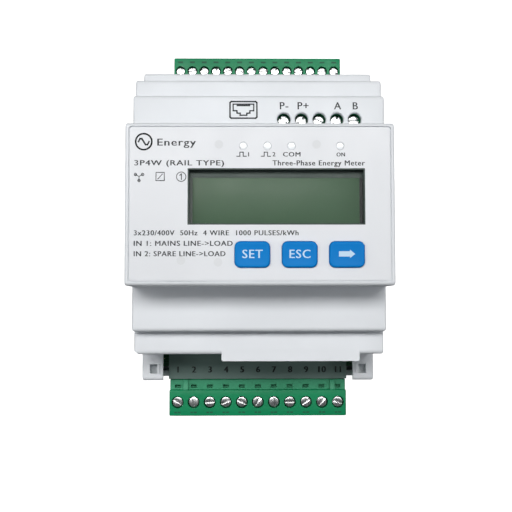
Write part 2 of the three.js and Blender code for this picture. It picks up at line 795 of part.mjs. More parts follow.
const paneXs = [windowLeft - paneLap, windowRight + paneLap];
const paneZs = [windowBottom - paneLap, windowTop + paneLap];
addPiece('display_window', block(paneXs, [-paneFront, -paneBack], paneZs), 0xd8e4dc, 0.1);
addPiece('display_glass', block(paneXs, [-glassFront, -glassBack], paneZs), 0x586e5c, 0.2);
addPiece('backlight_block', block(paneXs, [-glassBack + gap, -backlightBack], paneZs),
  0xf2f4f0, 0.6);
const displayBoardX = innerHalfWidth - boardMargin;
const displayBoardZ = noseHalfHeight - wall - boardMargin;
addPiece('display_board', makeBoard([-displayBoardX, displayBoardX],
  [-displayBoardZ, displayBoardZ], displayBoardBack, []), boardGreen, 0.6);

['set', 'escape', 'next'].forEach((name, index) => {
  addPiece(name + '_button', makeButton(buttonXs[index]), buttonBlue, 0.4);
  addPiece(name + '_switch', makeSwitch(buttonXs[index]), 0x303234, 0.5);
});
addPiece('light_guide', makeLightGuide(), 0xf4f8fa, 0.2);

const mainBoardX = innerHalfWidth - boardMargin;
addPiece('main_board', makeBoard([-mainBoardX, mainBoardX], [mainBoardBottom, mainBoardTop],
  mainBoardFront - boardThickness, terminalPosts()), boardGreen, 0.6);
addPiece('terminal_board', makeBoard([terminalBoardLeft, mainBoardX],
  [terminalBoardBottom, bodyTop - wall - boardMargin], terminalBoardDepth, []), boardGreen, 0.6);
addPiece('board_link', makeBoardLink(), 0x9aa0a4, 0.6);

const onMainBoard = mainBoardFront + seatGap;
addPiece('power_transformer', block([transformerRight - transformerSide, transformerRight],
  [-onMainBoard - transformerHeight, -onMainBoard],
  [transformerTop - transformerSide, transformerTop]), 0x2e3236, 0.6);
addPiece('reservoir_capacitor', peg(capacitorX, capacitorZ, capacitorRadius,
  onMainBoard, onMainBoard + capacitorHeight, 24), 0x22282e, 0.4);
addPiece('backup_cell', peg(cellX, cellZ, cellRadius, onMainBoard, onMainBoard + cellHeight, 24),
  steel, 0.3, 0.8);

addPiece('network_jack', makeNetworkJack(), 0xb4b8ba, 0.35, 0.7);
addPiece('aux_terminal_block', makeAuxBlock(), terminalGreen, 0.5);
auxXs.forEach((x, index) => {
  addPiece('aux_screw_' + (index + 1), clampScrew(x, auxZ, auxScrewRadius,
    auxFront - screwSunk, firstSlotAngle + index * slotAngleStep), steel, 0.3, 0.9);
});

for (const [label, strip] of [['top', topStrip], ['bottom', bottomStrip]]) {
  addPiece(label + '_header', makeHeader(strip), 0x3a5048, 0.6);
  addPiece(label + '_plug', makePlug(strip), terminalGreen, 0.5);
  wayXs(strip).forEach((x, index) => {
    const angle = firstSlotAngle + index * slotAngleStep;
    const number = String(index + 1).padStart(2, '0');
    addPiece(label + '_screw_' + number, clampScrew(x, strip.side * strip.screwOut,
      strip.screwRadius, strip.front - screwSunk, angle), steel, 0.3, 0.9);
  });
}

addPiece('rail_clip', makeRailClip(), 0x3b3f42, 0.5);
addPiece('clip_spring', makeClipSpring(), steel, 0.3, 0.9);

export default group;
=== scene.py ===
import json
import math

import bmesh
import bpy
from mathutils import Matrix, Vector

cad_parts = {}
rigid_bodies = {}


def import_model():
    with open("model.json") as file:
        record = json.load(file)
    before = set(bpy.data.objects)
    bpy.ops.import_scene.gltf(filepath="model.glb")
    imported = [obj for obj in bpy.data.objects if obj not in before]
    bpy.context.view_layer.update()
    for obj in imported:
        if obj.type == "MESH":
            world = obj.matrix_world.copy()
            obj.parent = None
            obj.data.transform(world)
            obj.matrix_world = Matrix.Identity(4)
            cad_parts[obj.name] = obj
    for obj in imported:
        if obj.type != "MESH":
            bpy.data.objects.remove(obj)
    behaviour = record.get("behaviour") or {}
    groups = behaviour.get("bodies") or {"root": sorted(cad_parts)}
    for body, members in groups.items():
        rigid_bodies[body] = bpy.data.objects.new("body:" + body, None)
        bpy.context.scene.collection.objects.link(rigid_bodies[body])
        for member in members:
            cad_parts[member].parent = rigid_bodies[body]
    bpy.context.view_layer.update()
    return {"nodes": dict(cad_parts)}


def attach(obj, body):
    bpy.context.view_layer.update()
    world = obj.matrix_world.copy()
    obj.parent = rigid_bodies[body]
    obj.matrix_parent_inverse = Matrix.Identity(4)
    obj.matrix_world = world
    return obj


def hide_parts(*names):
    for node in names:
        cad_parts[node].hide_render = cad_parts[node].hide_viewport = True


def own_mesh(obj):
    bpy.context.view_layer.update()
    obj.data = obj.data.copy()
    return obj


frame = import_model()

mm = 0.001

# camera, stage and light
cameraSpot = {"x": -4.16, "y": -285.22, "z": -26.34, "yaw": -0.77, "pitch": 3.15, "roll": 0.09,
              "lens": 59.87, "sensor": 36}
stageSpot = {"floor": -150, "back": 420, "front": -900, "side": 900, "height": 900, "sweep": 160}
lightRig = {
    # name: (x, y, z in mm, width, height, watts, colour)
    "keyPanel": ((-80, -1000, 275), 1100, 260, 8.8, (1.0, 0.997, 0.985)),
    "leftPanel": ((-900, -600, -80), 500, 700, 2.0, (0.98, 0.99, 1.0)),
    "rightPanel": ((900, -600, -80), 500, 700, 1.7, (0.98, 0.99, 1.0)),
    "topPanel": ((0, 100, 900), 900, 500, 0.3, (1.0, 1.0, 1.0)),
    "rearPanel": ((150, 900, 250), 1100, 600, 9.0, (1.0, 1.0, 1.0)),
}
skyColour = (0.92, 0.96, 1.0, 1.0)
skyStrength = 0.1


def deselectAll():
    if bpy.context.object and bpy.context.object.mode != "OBJECT":
        bpy.ops.object.mode_set(mode="OBJECT")
    for item in list(bpy.context.view_layer.objects.selected):
        item.select_set(False)


def makeActive(piece):
    deselectAll()
    piece.select_set(True)
    bpy.context.view_layer.objects.active = piece


def settle(piece):
    # the place goes into the mesh, and the object stays at the origin
    makeActive(piece)
    bpy.ops.object.transform_apply(location=True, rotation=True, scale=True)
    return piece


def placeCamera():
    data = bpy.data.cameras.new("meterCamera")
    data.sensor_width = cameraSpot["sensor"]
    data.lens = cameraSpot["lens"]
    data.clip_start = 0.01
    camera = bpy.data.objects.new("meterCamera", data)
    bpy.context.scene.collection.objects.link(camera)
    spot = Vector((cameraSpot["x"], cameraSpot["y"], cameraSpot["z"])) * mm
    turn = (Matrix.Rotation(math.radians(cameraSpot["yaw"]), 4, "Z")
            @ Matrix.Rotation(math.radians(cameraSpot["pitch"]), 4, "X")
            @ Matrix.Rotation(math.radians(cameraSpot["roll"]), 4, "Y")
            @ Matrix.Rotation(math.radians(90), 4, "X"))
    camera.matrix_world = Matrix.Translation(spot) @ turn
    bpy.context.scene.camera = camera


def placeLights():
    for name, (spot, wide, high, watts, colour) in lightRig.items():
        data = bpy.data.lights.new(name, "AREA")
        data.shape = "RECTANGLE"
        data.size = wide * mm
        data.size_y = high * mm
        data.energy = watts
        data.color = colour
        light = bpy.data.objects.new(name, data)
        bpy.context.scene.collection.objects.link(light)
        place = Vector(spot) * mm
        light.location = place
        light.rotation_euler = (-place).to_track_quat("-Z", "Y").to_euler()
    world = bpy.data.worlds.new("paleRoom")
    bpy.context.scene.world = world
    world.use_nodes = True
    sky = world.node_tree.nodes["Background"]
    sky.inputs["Color"].default_value = skyColour
    sky.inputs["Strength"].default_value = skyStrength


def placeStage():
    s = stageSpot
    deselectAll()
    bpy.ops.mesh.primitive_plane_add(size=1, location=(0, 0, s["floor"] * mm))
    floor = bpy.context.active_object
    floor.name = "paleFloor"
    floor.scale = (2 * s["side"] * mm, (s["back"] - s["front"]) * mm, 1)
    floor.location.y = (s["back"] + s["front"]) / 2 * mm
    settle(floor)
    bpy.ops.object.mode_set(mode="EDIT")
    mesh = bmesh.from_edit_mesh(floor.data)
    for edge in mesh.edges:
        edge.select_set(all(v.co.y > s["back"] * mm - 1e-4 for v in edge.verts))
    bmesh.update_edit_mesh(floor.data)
    bpy.ops.mesh.extrude_region_move(TRANSFORM_OT_translate={"value": (0, 0, s["height"] * mm)})
    bpy.ops.object.mode_set(mode="OBJECT")
    corner = floor.modifiers.new("sweep", "BEVEL")
    corner.width = s["sweep"] * mm
    corner.segments = 16
    bpy.ops.object.modifier_apply(modifier="sweep")
    bpy.ops.object.shade_smooth()
    paint = bpy.data.materials.new("paleFloorPaint")
    paint.use_nodes = True
    shader = paint.node_tree.nodes["Principled BSDF"]
    shader.inputs["Base Color"].default_value = (0.93, 0.93, 0.93, 1)
    shader.inputs["Roughness"].default_value = 0.9
    shader.inputs["Emission Color"].default_value = (1, 1, 1, 1)
    shader.inputs["Emission Strength"].default_value = 0.8
    floor.data.materials.append(paint)
    floor.visible_diffuse = False
    floor.visible_glossy = False
    floor.visible_shadow = False


bpy.context.scene.view_settings.view_transform = "Standard"
placeCamera()
placeLights()
placeStage()
print("stage, lights and camera are set")

# finishes


def newGroup(name, inputs):
    # each group gives a colour, a roughness and a normal
    group = bpy.data.node_groups.new(name, "ShaderNodeTree")
    for label, kind, value in inputs:
        socket = group.interface.new_socket(name=label, in_out="INPUT", socket_type=kind)
        if value is not None:
            socket.default_value = value
    for label, kind in (("Color", "NodeSocketColor"), ("Roughness", "NodeSocketFloat"),
                        ("Normal", "NodeSocketVector")):
        group.interface.new_socket(name=label, in_out="OUTPUT", socket_type=kind)
    return group, group.nodes.new("NodeGroupInput"), group.nodes.new("NodeGroupOutput")


def addNode(tree, kind, settings=None, **links):
    # links: input name or number -> value, or an output socket to join
    node = tree.nodes.new(kind)
    for key, value in (settings or {}).items():
        setattr(node, key, value)
    for key, value in links.items():
        socket = node.inputs[int(key[1:])] if key[0] == "_" else node.inputs[key.replace("_", " ")]
        if isinstance(value, bpy.types.NodeSocket):
            tree.links.new(value, socket)
        else:
            socket.default_value = value
    return node


def mapRange(tree, value, low, high, toLow, toHigh):
    node = addNode(tree, "ShaderNodeMapRange", {"clamp": True}, Value=value,
                   From_Min=low, From_Max=high, To_Min=toLow, To_Max=toHigh)
    return node.outputs["Result"]


def mixColour(tree, share, first, second):
    node = tree.nodes.new("ShaderNodeMix")
    node.data_type = "RGBA"
    sockets = {s.name + s.type: s for s in node.inputs}
    for socket, value in ((node.inputs["Factor"], share), (sockets["ARGBA"], first),
                          (sockets["BRGBA"], second)):
        if isinstance(value, bpy.types.NodeSocket):
            tree.links.new(value, socket)
        else:
            socket.default_value = value
    return next(s for s in node.outputs if s.type == "RGBA")


def giveOut(group, result, tint, rough, bump):
    group.links.new(tint, result.inputs["Color"])
    group.links.new(rough, result.inputs["Roughness"])
    group.links.new(bump.outputs["Normal"], result.inputs["Normal"])
    return group


def makeMouldedGroup():
    # fine spark-eroded grain, slow tone drift, and faint rubbed patches
    group, given, result = newGroup("mouldedSkin", [
        ("Tone", "NodeSocketColor", None), ("Shade", "NodeSocketColor", None),
        ("Grain Size", "NodeSocketFloat", 4000.0), ("Grain Depth", "NodeSocketFloat", 0.1),
        ("Rough Low", "NodeSocketFloat", 0.4), ("Rough High", "NodeSocketFloat", 0.5)])
    spot = addNode(group, "ShaderNodeTexCoord").outputs["Object"]
    drift = addNode(group, "ShaderNodeTexNoise", Vector=spot, Scale=38.0, Detail=3.0)
    grain = addNode(group, "ShaderNodeTexNoise", Vector=spot, Scale=given.outputs["Grain Size"],
                    Detail=2.0, Roughness=0.6)
    pits = addNode(group, "ShaderNodeTexVoronoi", Vector=spot, Scale=given.outputs["Grain Size"])
    rubbed = addNode(group, "ShaderNodeTexNoise", Vector=spot, Scale=140.0, Detail=4.0,
                     Roughness=0.7)
    share = mapRange(group, drift.outputs["Fac"], 0.35, 0.65, 0.0, 1.0)
    tint = mixColour(group, share, given.outputs["Tone"], given.outputs["Shade"])
    rough = mapRange(group, rubbed.outputs["Fac"], 0.35, 0.65, given.outputs["Rough Low"],
                     given.outputs["Rough High"])
    height = addNode(group, "ShaderNodeMath", {"operation": "MULTIPLY_ADD"},
                     _0=grain.outputs["Fac"], _1=0.6, _2=pits.outputs["Distance"])
    bump = addNode(group, "ShaderNodeBump", Strength=given.outputs["Grain Depth"],
                   Distance=0.00005, Height=height.outputs[0])
    return giveOut(group, result, tint, rough, bump)


def makeMetalGroup():
    # drawn or turned metal: fine scratches, plating clouds and a little tarnish
    group, given, result = newGroup("workedMetal", [
        ("Tone", "NodeSocketColor", None), ("Tarnish", "NodeSocketColor", None),
        ("Scratch Size", "NodeSocketFloat", 2500.0), ("Scratch Depth", "NodeSocketFloat", 0.2),
        ("Rough Low", "NodeSocketFloat", 0.2), ("Rough High", "NodeSocketFloat", 0.4)])
    spot = addNode(group, "ShaderNodeTexCoord").outputs["Object"]
    drawn = addNode(group, "ShaderNodeMapping", Vector=spot, Scale=(1.0, 1.0, 0.08))
    scratch = addNode(group, "ShaderNodeTexNoise", Vector=drawn.outputs["Vector"],
                      Scale=given.outputs["Scratch Size"], Detail=3.0)
    cloud = addNode(group, "ShaderNodeTexNoise", Vector=spot, Scale=420.0, Detail=4.0)
    share = mapRange(group, cloud.outputs["Fac"], 0.45, 0.75, 0.0, 0.8)
    tint = mixColour(group, share, given.outputs["Tone"], given.outputs["Tarnish"])
    rough = mapRange(group, scratch.outputs["Fac"], 0.3, 0.7, given.outputs["Rough Low"],
                     given.outputs["Rough High"])
    bump = addNode(group, "ShaderNodeBump", Strength=given.outputs["Scratch Depth"],
                   Distance=0.00003, Height=scratch.outputs["Fac"])
    return giveOut(group, result, tint, rough, bump)


mouldedGroup = makeMouldedGroup()
metalGroup = makeMetalGroup()


def toLinear(colour):
    # screen colours from 0 to 255 to the shader's own values
    def channel(value):
        value = value / 255
        return value / 12.92 if value <= 0.04045 else ((value + 0.055) / 1.055) ** 2.4
    return tuple(channel(value) for value in colour) + (1.0,)


def newPaint(name):
    paint = bpy.data.materials.new(name)
    paint.use_nodes = True
    return paint, paint.node_tree, paint.node_tree.nodes["Principled BSDF"]


def joinSkin(tree, shader, group, values):
    skin = addNode(tree, "ShaderNodeGroup", {"node_tree": group})
    for label, value in values.items():
        skin.inputs[label].default_value = value
    tree.links.new(skin.outputs["Color"], shader.inputs["Base Color"])
    tree.links.new(skin.outputs["Roughness"], shader.inputs["Roughness"])
    tree.links.new(skin.outputs["Normal"], shader.inputs["Normal"])
    return skin


def plasticPaint(name, tone, shade, rough=(0.42, 0.52), grain=3200.0, depth=0.12, gloss=0.3,
                 coat=0.0):
    paint, tree, shader = newPaint(name)
    joinSkin(tree, shader, mouldedGroup, {
        "Tone": toLinear(tone), "Shade": toLinear(shade), "Grain Size": grain,
        "Grain Depth": depth, "Rough Low": rough[0], "Rough High": rough[1]})
    shader.inputs["Specular IOR Level"].default_value = gloss
    shader.inputs["Coat Weight"].default_value = coat
    shader.inputs["Coat Roughness"].default_value = 0.15
    return paint


def metalPaint(name, tone, tarnish, rough=(0.18, 0.34), scratch=2500.0, depth=0.25):
    paint, tree, shader = newPaint(name)
    joinSkin(tree, shader, metalGroup, {
        "Tone": toLinear(tone), "Tarnish": toLinear(tarnish), "Scratch Size": scratch,
        "Scratch Depth": depth, "Rough Low": rough[0], "Rough High": rough[1]})
    shader.inputs["Metallic"].default_value = 1.0
    return paint


def boardPaint(name):
    # solder resist over copper tracks, which show as paler raised lanes
    paint, tree, shader = newPaint(name)
    spot = addNode(tree, "ShaderNodeTexCoord").outputs["Object"]
    turned = addNode(tree, "ShaderNodeMapping", Vector=spot, Rotation=(math.radians(90), 0, 0))
    lanes = addNode(tree, "ShaderNodeTexBrick", {"offset": 0.37, "squash": 1.6},
                    Vector=turned.outputs["Vector"], Scale=420.0, Mortar_Size=0.06,
                    Brick_Width=0.9, Row_Height=0.35)
    pads = addNode(tree, "ShaderNodeTexVoronoi", Vector=spot, Scale=520.0)
    lane = mapRange(tree, lanes.outputs["Fac"], 0.0, 1.0, 0.0, 1.0)
    pad = mapRange(tree, pads.outputs["Distance"], 0.16, 0.2, 1.0, 0.0)
    mask = mixColour(tree, lane, toLinear((24, 84, 52)), toLinear((38, 112, 70)))
    colour = mixColour(tree, pad, mask, toLinear((196, 188, 150)))
    tree.links.new(colour, shader.inputs["Base Color"])
    bump = addNode(tree, "ShaderNodeBump", Strength=0.3, Distance=0.00004, Height=lane)
    tree.links.new(bump.outputs["Normal"], shader.inputs["Normal"])
    rough = mapRange(tree, pads.outputs["Distance"], 0.1, 0.4, 0.25, 0.4)
    tree.links.new(rough, shader.inputs["Roughness"])
    return paint


def displayPaint(name):
    # grey-green liquid crystal: painted light that makes it lighter towards the top and the left, a
    # faint dot grid and a slight sheen
    paint, tree, shader = newPaint(name)
    spot = addNode(tree, "ShaderNodeTexCoord").outputs["Object"]
    axes = addNode(tree, "ShaderNodeSeparateXYZ", Vector=spot)
    fall = mapRange(tree, axes.outputs["Z"], -0.0056, 0.0095, 0.0, 1.0)
    across = mapRange(tree, axes.outputs["X"], -0.0193, 0.028, 1.0, 0.0)
    paintedLightShare = addNode(tree, "ShaderNodeMath", {"operation": "MULTIPLY"}, _0=fall, _1=across)
    cloud = addNode(tree, "ShaderNodeTexNoise", Vector=spot, Scale=90.0, Detail=3.0)
    grid = addNode(tree, "ShaderNodeTexChecker", Vector=spot, Scale=2600.0)
    base = mixColour(tree, paintedLightShare.outputs[0], toLinear((64, 94, 68)), toLinear((86, 108, 86)))
    clouded = mixColour(tree, mapRange(tree, cloud.outputs["Fac"], 0.3, 0.7, 0.0, 0.35), base,
                        toLinear((58, 88, 62)))
    dotted = mixColour(tree, mapRange(tree, grid.outputs["Fac"], 0.0, 1.0, 0.0, 0.06), clouded,
                       toLinear((50, 64, 54)))
    tree.links.new(dotted, shader.inputs["Base Color"])
    tree.links.new(mapRange(tree, cloud.outputs["Fac"], 0.3, 0.7, 0.3, 0.42),
                   shader.inputs["Roughness"])
    shader.inputs["Specular IOR Level"].default_value = 0.15
    return paint


def panePaint(name):
    # clear pane: mostly seen by its sheen, with a trace of haze
    paint, tree, shader = newPaint(name)
    spot = addNode(tree, "ShaderNodeTexCoord").outputs["Object"]
    haze = addNode(tree, "ShaderNodeTexNoise", Vector=spot, Scale=60.0, Detail=4.0)
    tree.links.new(mixColour(tree, mapRange(tree, haze.outputs["Fac"], 0.3, 0.7, 0.0, 1.0),
                             toLinear((196, 208, 200)), toLinear((176, 192, 182))),
                   shader.inputs["Base Color"])
    tree.links.new(mapRange(tree, haze.outputs["Fac"], 0.3, 0.7, 0.06, 0.14),
                   shader.inputs["Roughness"])
    tree.links.new(mapRange(tree, haze.outputs["Fac"], 0.3, 0.7, 0.02, 0.035),
                   shader.inputs["Alpha"])
    shader.inputs["Specular IOR Level"].default_value = 0.2
    return paint


def printPaint(name, tone, shade):
    return plasticPaint(name, tone, shade, rough=(0.45, 0.6), grain=6000.0, depth=0.05)


paints = {
    "housing": plasticPaint("housingPlastic", (229, 232, 236), (224, 227, 231)),
    "film": plasticPaint("printedFilm", (227, 229, 233), (223, 225, 229), rough=(0.3, 0.4),
                         grain=5200.0, depth=0.06),
    "green": plasticPaint("terminalGreen", (8, 136, 88), (4, 124, 79), rough=(0.36, 0.48),
                          grain=2600.0, depth=0.14, gloss=0.22),
    # the neck's paler green is a painted highlight on the plug's own green plastic
    "neck": plasticPaint("neckHighlightGreen", (66, 154, 116), (56, 144, 106), rough=(0.4, 0.52),
                         grain=2600.0, depth=0.14, gloss=0.22),
    "header": plasticPaint("headerGreen", (108, 128, 122), (98, 118, 112), rough=(0.4, 0.5)),
    "blue": plasticPaint("buttonBlue", (0, 125, 203), (0, 119, 197), rough=(0.4, 0.5),
                         grain=4200.0, depth=0.06, gloss=0.1),
    "clip": plasticPaint("clipPlastic", (58, 61, 64), (48, 51, 54), rough=(0.4, 0.55)),
    "black": plasticPaint("blackPlastic", (30, 31, 33), (24, 25, 27), rough=(0.4, 0.55)),
    "guide": plasticPaint("guideClear", (250, 252, 255), (244, 248, 252), rough=(0.12, 0.2),
                          grain=2000.0, depth=0.02, coat=0.4),
    "diffuser": plasticPaint("whiteDiffuser", (240, 242, 238), (232, 235, 230)),
    "ribbon": plasticPaint("ribbonGrey", (150, 155, 160), (138, 143, 148)),
    "transformer": plasticPaint("transformerBlack", (36, 38, 43), (28, 30, 34)),
    "sleeve": plasticPaint("capacitorSleeve", (26, 32, 46), (20, 25, 38), rough=(0.2, 0.3),
                           coat=0.5),
    "ink": printPaint("darkInk", (40, 43, 47), (50, 53, 57)),
    "paleInk": printPaint("paleInk", (196, 222, 242), (188, 215, 238)),
    "faintDiscTone": printPaint("faintDiscTone", (221, 223, 226), (218, 220, 223)),
    "greenInk": printPaint("darkGreenInk", (14, 92, 64), (10, 80, 55)),
    "headerInk": printPaint("headerInk", (20, 29, 28), (16, 24, 23)),
    # the bezel tone also stands in as painted shadow along the display's top, and the lit bezel
    # grey is a painted lit copy of it for the side walls
    "bezel": plasticPaint("displayBezel", (52, 66, 62), (46, 60, 56), rough=(0.4, 0.5)),
    "bezelSide": plasticPaint("displayBezelSide", (74, 82, 78), (68, 76, 72), rough=(0.4, 0.5)),
    "display": displayPaint("displayGlass"),
    "pane": panePaint("clearPane"),
    "board": boardPaint("boardLaminate"),
    "screw": metalPaint("screwSteel", (216, 217, 218), (176, 176, 173), rough=(0.2, 0.32),
                        depth=0.08),
    "clamp": metalPaint("clampSteel", (190, 190, 188), (140, 136, 128), rough=(0.28, 0.45)),
    "shield": metalPaint("jackShield", (196, 200, 203), (160, 164, 166), rough=(0.25, 0.4)),
    "gold": metalPaint("contactGold", (226, 190, 110), (190, 150, 84), rough=(0.15, 0.3)),
    "spring": metalPaint("springSteel", (180, 182, 184), (120, 122, 124), rough=(0.2, 0.35)),
    "cell": metalPaint("cellSteel", (196, 197, 198), (160, 162, 164), rough=(0.2, 0.32)),
}
print("finishes are mixed")

# modelling steps


def block(name, xs, ds, zs):
    # a box between two values on each axis, in mm: ds are depths in front of the rail seat
    deselectAll()
    spans = [sorted(xs), sorted(-depth for depth in ds), sorted(zs)]
    centre = [(low + high) / 2 * mm for low, high in spans]
    bpy.ops.mesh.primitive_cube_add(size=1, location=centre)
    piece = bpy.context.active_object
    piece.name = name
    piece.scale = [(high - low) * mm for low, high in spans]
    return settle(piece)


def rod(name, x, z, radius, fromD, toD, sides=32, frontRadius=None):
    # a cylinder or cone along the depth, in mm
    deselectAll()
    bpy.ops.mesh.primitive_cone_add(
        vertices=sides, radius1=radius * mm, depth=abs(toD - fromD) * mm,
        radius2=(radius if frontRadius is None else frontRadius) * mm,
        location=(x * mm, -(fromD + toD) / 2 * mm, z * mm), rotation=(math.radians(90), 0, 0))
    piece = bpy.context.active_object
    piece.name = name
    return settle(piece)


def chooseParts(piece, kind, test):
    # enters edit mode and selects what passes the test, with places in mm as (x, depth, z)
    makeActive(piece)
    bpy.ops.object.mode_set(mode="EDIT")
    bpy.ops.mesh.select_mode(type=kind)
    bpy.ops.mesh.select_all(action="DESELECT")
    mesh = bmesh.from_edit_mesh(piece.data)

    def place(point):
        return Vector((point.x, -point.y, point.z)) / mm

    if kind == "FACE":
        for face in mesh.faces:
            face.select_set(bool(test(place(face.calc_center_median()), face.normal)))
    elif kind == "EDGE":
        for edge in mesh.edges:
            a, b = (place(vertex.co) for vertex in edge.verts)
            if test(a, b, math.degrees(edge.calc_face_angle(0))):
                edge.select_set(True)
    else:
        for vertex in mesh.verts:
            if test(place(vertex.co)):
                vertex.select_set(True)
    mesh.select_flush_mode()
    bmesh.update_edit_mesh(piece.data)


def leaveEdit():
    bpy.ops.object.mode_set(mode="OBJECT")


def extrude(dx=0, dd=0, dz=0):
    bpy.ops.mesh.extrude_region_move(
        TRANSFORM_OT_translate={"value": (dx * mm, -dd * mm, dz * mm)})


def roundChosen(width, segments=3):
    bpy.ops.mesh.bevel(offset=width * mm, segments=segments, affect="EDGES",
                       offset_type="OFFSET", clamp_overlap=True)
    leaveEdit()


def roundEdges(piece, width, segments, test):
    chooseParts(piece, "EDGE", test)
    roundChosen(width, segments)
    return piece


def splitAt(piece, axis, *places):
    # cuts an edge loop all round the piece at each place on the axis, in mm
    for place in places:
        makeActive(piece)
        bpy.ops.object.mode_set(mode="EDIT")
        bpy.ops.mesh.select_all(action="SELECT")
        point, normal = [0, 0, 0], [0, 0, 0]
        point[axis] = (-place if axis == 1 else place) * mm
        normal[axis] = 1
        bpy.ops.mesh.bisect(plane_co=point, plane_no=normal)
        leaveEdit()
    return piece


def useModifier(piece, kind, **settings):
    makeActive(piece)
    modifier = piece.modifiers.new("step", kind)
    for key, value in settings.items():
        setattr(modifier, key, value)
    bpy.ops.object.modifier_apply(modifier=modifier.name)
    return piece


def softenEdges(piece, width, segments=2, angle=40):
    return useModifier(piece, "BEVEL", width=width * mm, segments=segments,
                       limit_method="ANGLE", angle_limit=math.radians(angle),
                       use_clamp_overlap=True)


def joinAll(pieces, name):
    deselectAll()
    for piece in pieces:
        piece.select_set(True)
    bpy.context.view_layer.objects.active = pieces[0]
    if len(pieces) > 1:
        bpy.ops.object.join()
    pieces[0].name = name
    return pieces[0]


def carve(piece, cutters, operation="DIFFERENCE"):
    tool = joinAll(cutters, "cutter")
    useModifier(piece, "BOOLEAN", object=tool, operation=operation, solver="EXACT",
                use_self=True)
    bpy.data.objects.remove(tool)
    return piece


def copyOf(piece, name, dx=0, dd=0, dz=0, turn=0):
    # a copy with its own mesh, turned about the depth axis and then moved
    twin = piece.copy()
    twin.data = piece.data.copy()
    twin.name = name
    bpy.context.scene.collection.objects.link(twin)
    twin.matrix_world = (Matrix.Translation(Vector((dx, -dd, dz)) * mm)
                         @ Matrix.Rotation(math.radians(turn), 4, "Y"))
    return settle(twin)


def finishPiece(piece, paint, body, replaced=(), angle=35):
    makeActive(piece)
    bpy.ops.object.mode_set(mode="EDIT")
    bpy.ops.mesh.select_all(action="SELECT")
    bpy.ops.mesh.remove_doubles(threshold=1e-6)
    bpy.ops.mesh.normals_make_consistent(inside=False)
    leaveEdit()
    bpy.ops.object.shade_smooth_by_angle(angle=math.radians(angle))
    piece.data.materials.clear()
    piece.data.materials.append(paints[paint])
    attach(piece, body)
    if replaced:
        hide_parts(*replaced)
    return piece


def roundedPlate(name, xs, zs, radius, fromD, toD, segments=6):
    # a plate facing the front, with its four corners rounded in front view
    piece = block(name, xs, (fromD, toD), zs)
    return roundEdges(piece, radius, segments, lambda a, b, angle: abs(a.y - b.y) > 1e-3)


# printed marks: ink thickness, letter spacing, and a capital's share of the type size
lettering = {"ink": 0.03, "spacing": 1.12, "capital": 0.7, "secondPrint": 0.004}


def wordMark(text, x, z, height, depth, align="LEFT", width=None, bold=0.1):
    # lettering that faces the front, of a cap height, and of a whole width where one is given;
    # a second print, a hair to the side, makes it bolder
    deselectAll()
    bpy.ops.object.text_add(location=(0, 0, 0))
    word = bpy.context.active_object
    word.data.body = text
    word.data.size = height * mm / lettering["capital"]
    word.data.extrude = lettering["ink"] * mm
    word.data.resolution_u = 3
    word.data.space_character = lettering["spacing"]
    bpy.ops.object.convert(target="MESH")
    word = bpy.context.active_object
    wide = max(v.co.x for v in word.data.vertices) - min(v.co.x for v in word.data.vertices)
    word.scale.x = 1 if width is None else width * mm / wide
    word.rotation_euler = (math.radians(90), 0, 0)
    settle(word)
    ends = [min(v.co.x for v in word.data.vertices), max(v.co.x for v in word.data.vertices)]
    anchor = {"LEFT": ends[0], "RIGHT": ends[1], "CENTER": sum(ends) / 2}[align]
    word.location = (x * mm - anchor, -depth * mm, (z - height / 2) * mm)
    settle(word)
    twin = copyOf(word, "word", bold, lettering["secondPrint"])
    return joinAll([word, twin], "word")


def stroke(points, width, depth, closed=False):
    # a printed line through (x, z) points
    lines, ink = [], lettering["ink"]
    ends = zip(points, points[1:] + points[:1]) if closed else zip(points, points[1:])
    for (ax, az), (bx, bz) in ends:
        length = math.hypot(bx - ax, bz - az)
        line = block("line", (-width / 2, length + width / 2), (-ink, ink),
                     (-width / 2, width / 2))
        line.rotation_euler = (0, -math.atan2(bz - az, bx - ax), 0)
        settle(line)
        line.location = (ax * mm, -depth * mm, az * mm)
        lines.append(settle(line))
    return joinAll(lines, "line")


def ringMark(x, z, radius, width, depth, sides=24):
    turn = 2 * math.pi / sides
    points = [(x + radius * math.cos(i * turn), z + radius * math.sin(i * turn))
              for i in range(sides)]
    return stroke(points, width, depth, closed=True)


def pulseMark(x, z, depth):
    low, high = z - 0.55, z + 0.55
    return stroke([(x - 1.35, low), (x - 0.55, low), (x - 0.55, high), (x + 0.35, high),
                   (x + 0.35, low), (x + 1.15, low)], 0.22, depth)


# front cover: halves count from the middle, and pairs are low and high
cover = {
    "halfWidth": 36, "nose": 60, "shoulder": 44, "seam": 38.8, "noseHalf": 21.8,
    "top": 33.1, "bottom": -34.4, "wall": 1.8, "edge": 1.2, "side": 0.6,
    "recessX": 35.05, "recessZ": 20.85, "recessDepth": 0.5, "recessCorner": 0.8,
    "window": (-19.3, 28, -5.6, 9.5), "cutBack": 3,
    "buttonXs": (-2.1, 10.45, 23.0), "buttonZ": -13.55, "buttonHole": (4.8, 3.6, 1.7),
    "lights": (-4.5, 2, 8.4, 21.4), "lightZ": 15.5, "lightHole": 1.1,
    "driverXs": tuple(7.15 + 5.08 * way for way in range(5)), "driverZ": 26.2,
    "driverHole": 1.93, "driverRim": 2.28, "rimDeep": 0.25,
    "postX": 30.8, "postZ": 16.6, "postRadius": 1.6, "postDs": (53.2, 58.25),
}


def faceOpenings(back):
    # cutters for the window, the buttons and the lights, from a depth out past the front
    c = cover
    front = c["nose"] + 1
    left, right, low, high = c["window"]
    halfX, halfZ, corner = c["buttonHole"]
    cutters = [block("cutter", (left, right), (back, front), (low, high))]
    for x in c["buttonXs"]:
        cutters.append(roundedPlate("cutter", (x - halfX, x + halfX),
                                    (c["buttonZ"] - halfZ, c["buttonZ"] + halfZ), corner,
                                    back, front))
    for x in c["lights"]:
        cutters.append(rod("cutter", x, c["lightZ"], c["lightHole"], back, front))
    return cutters


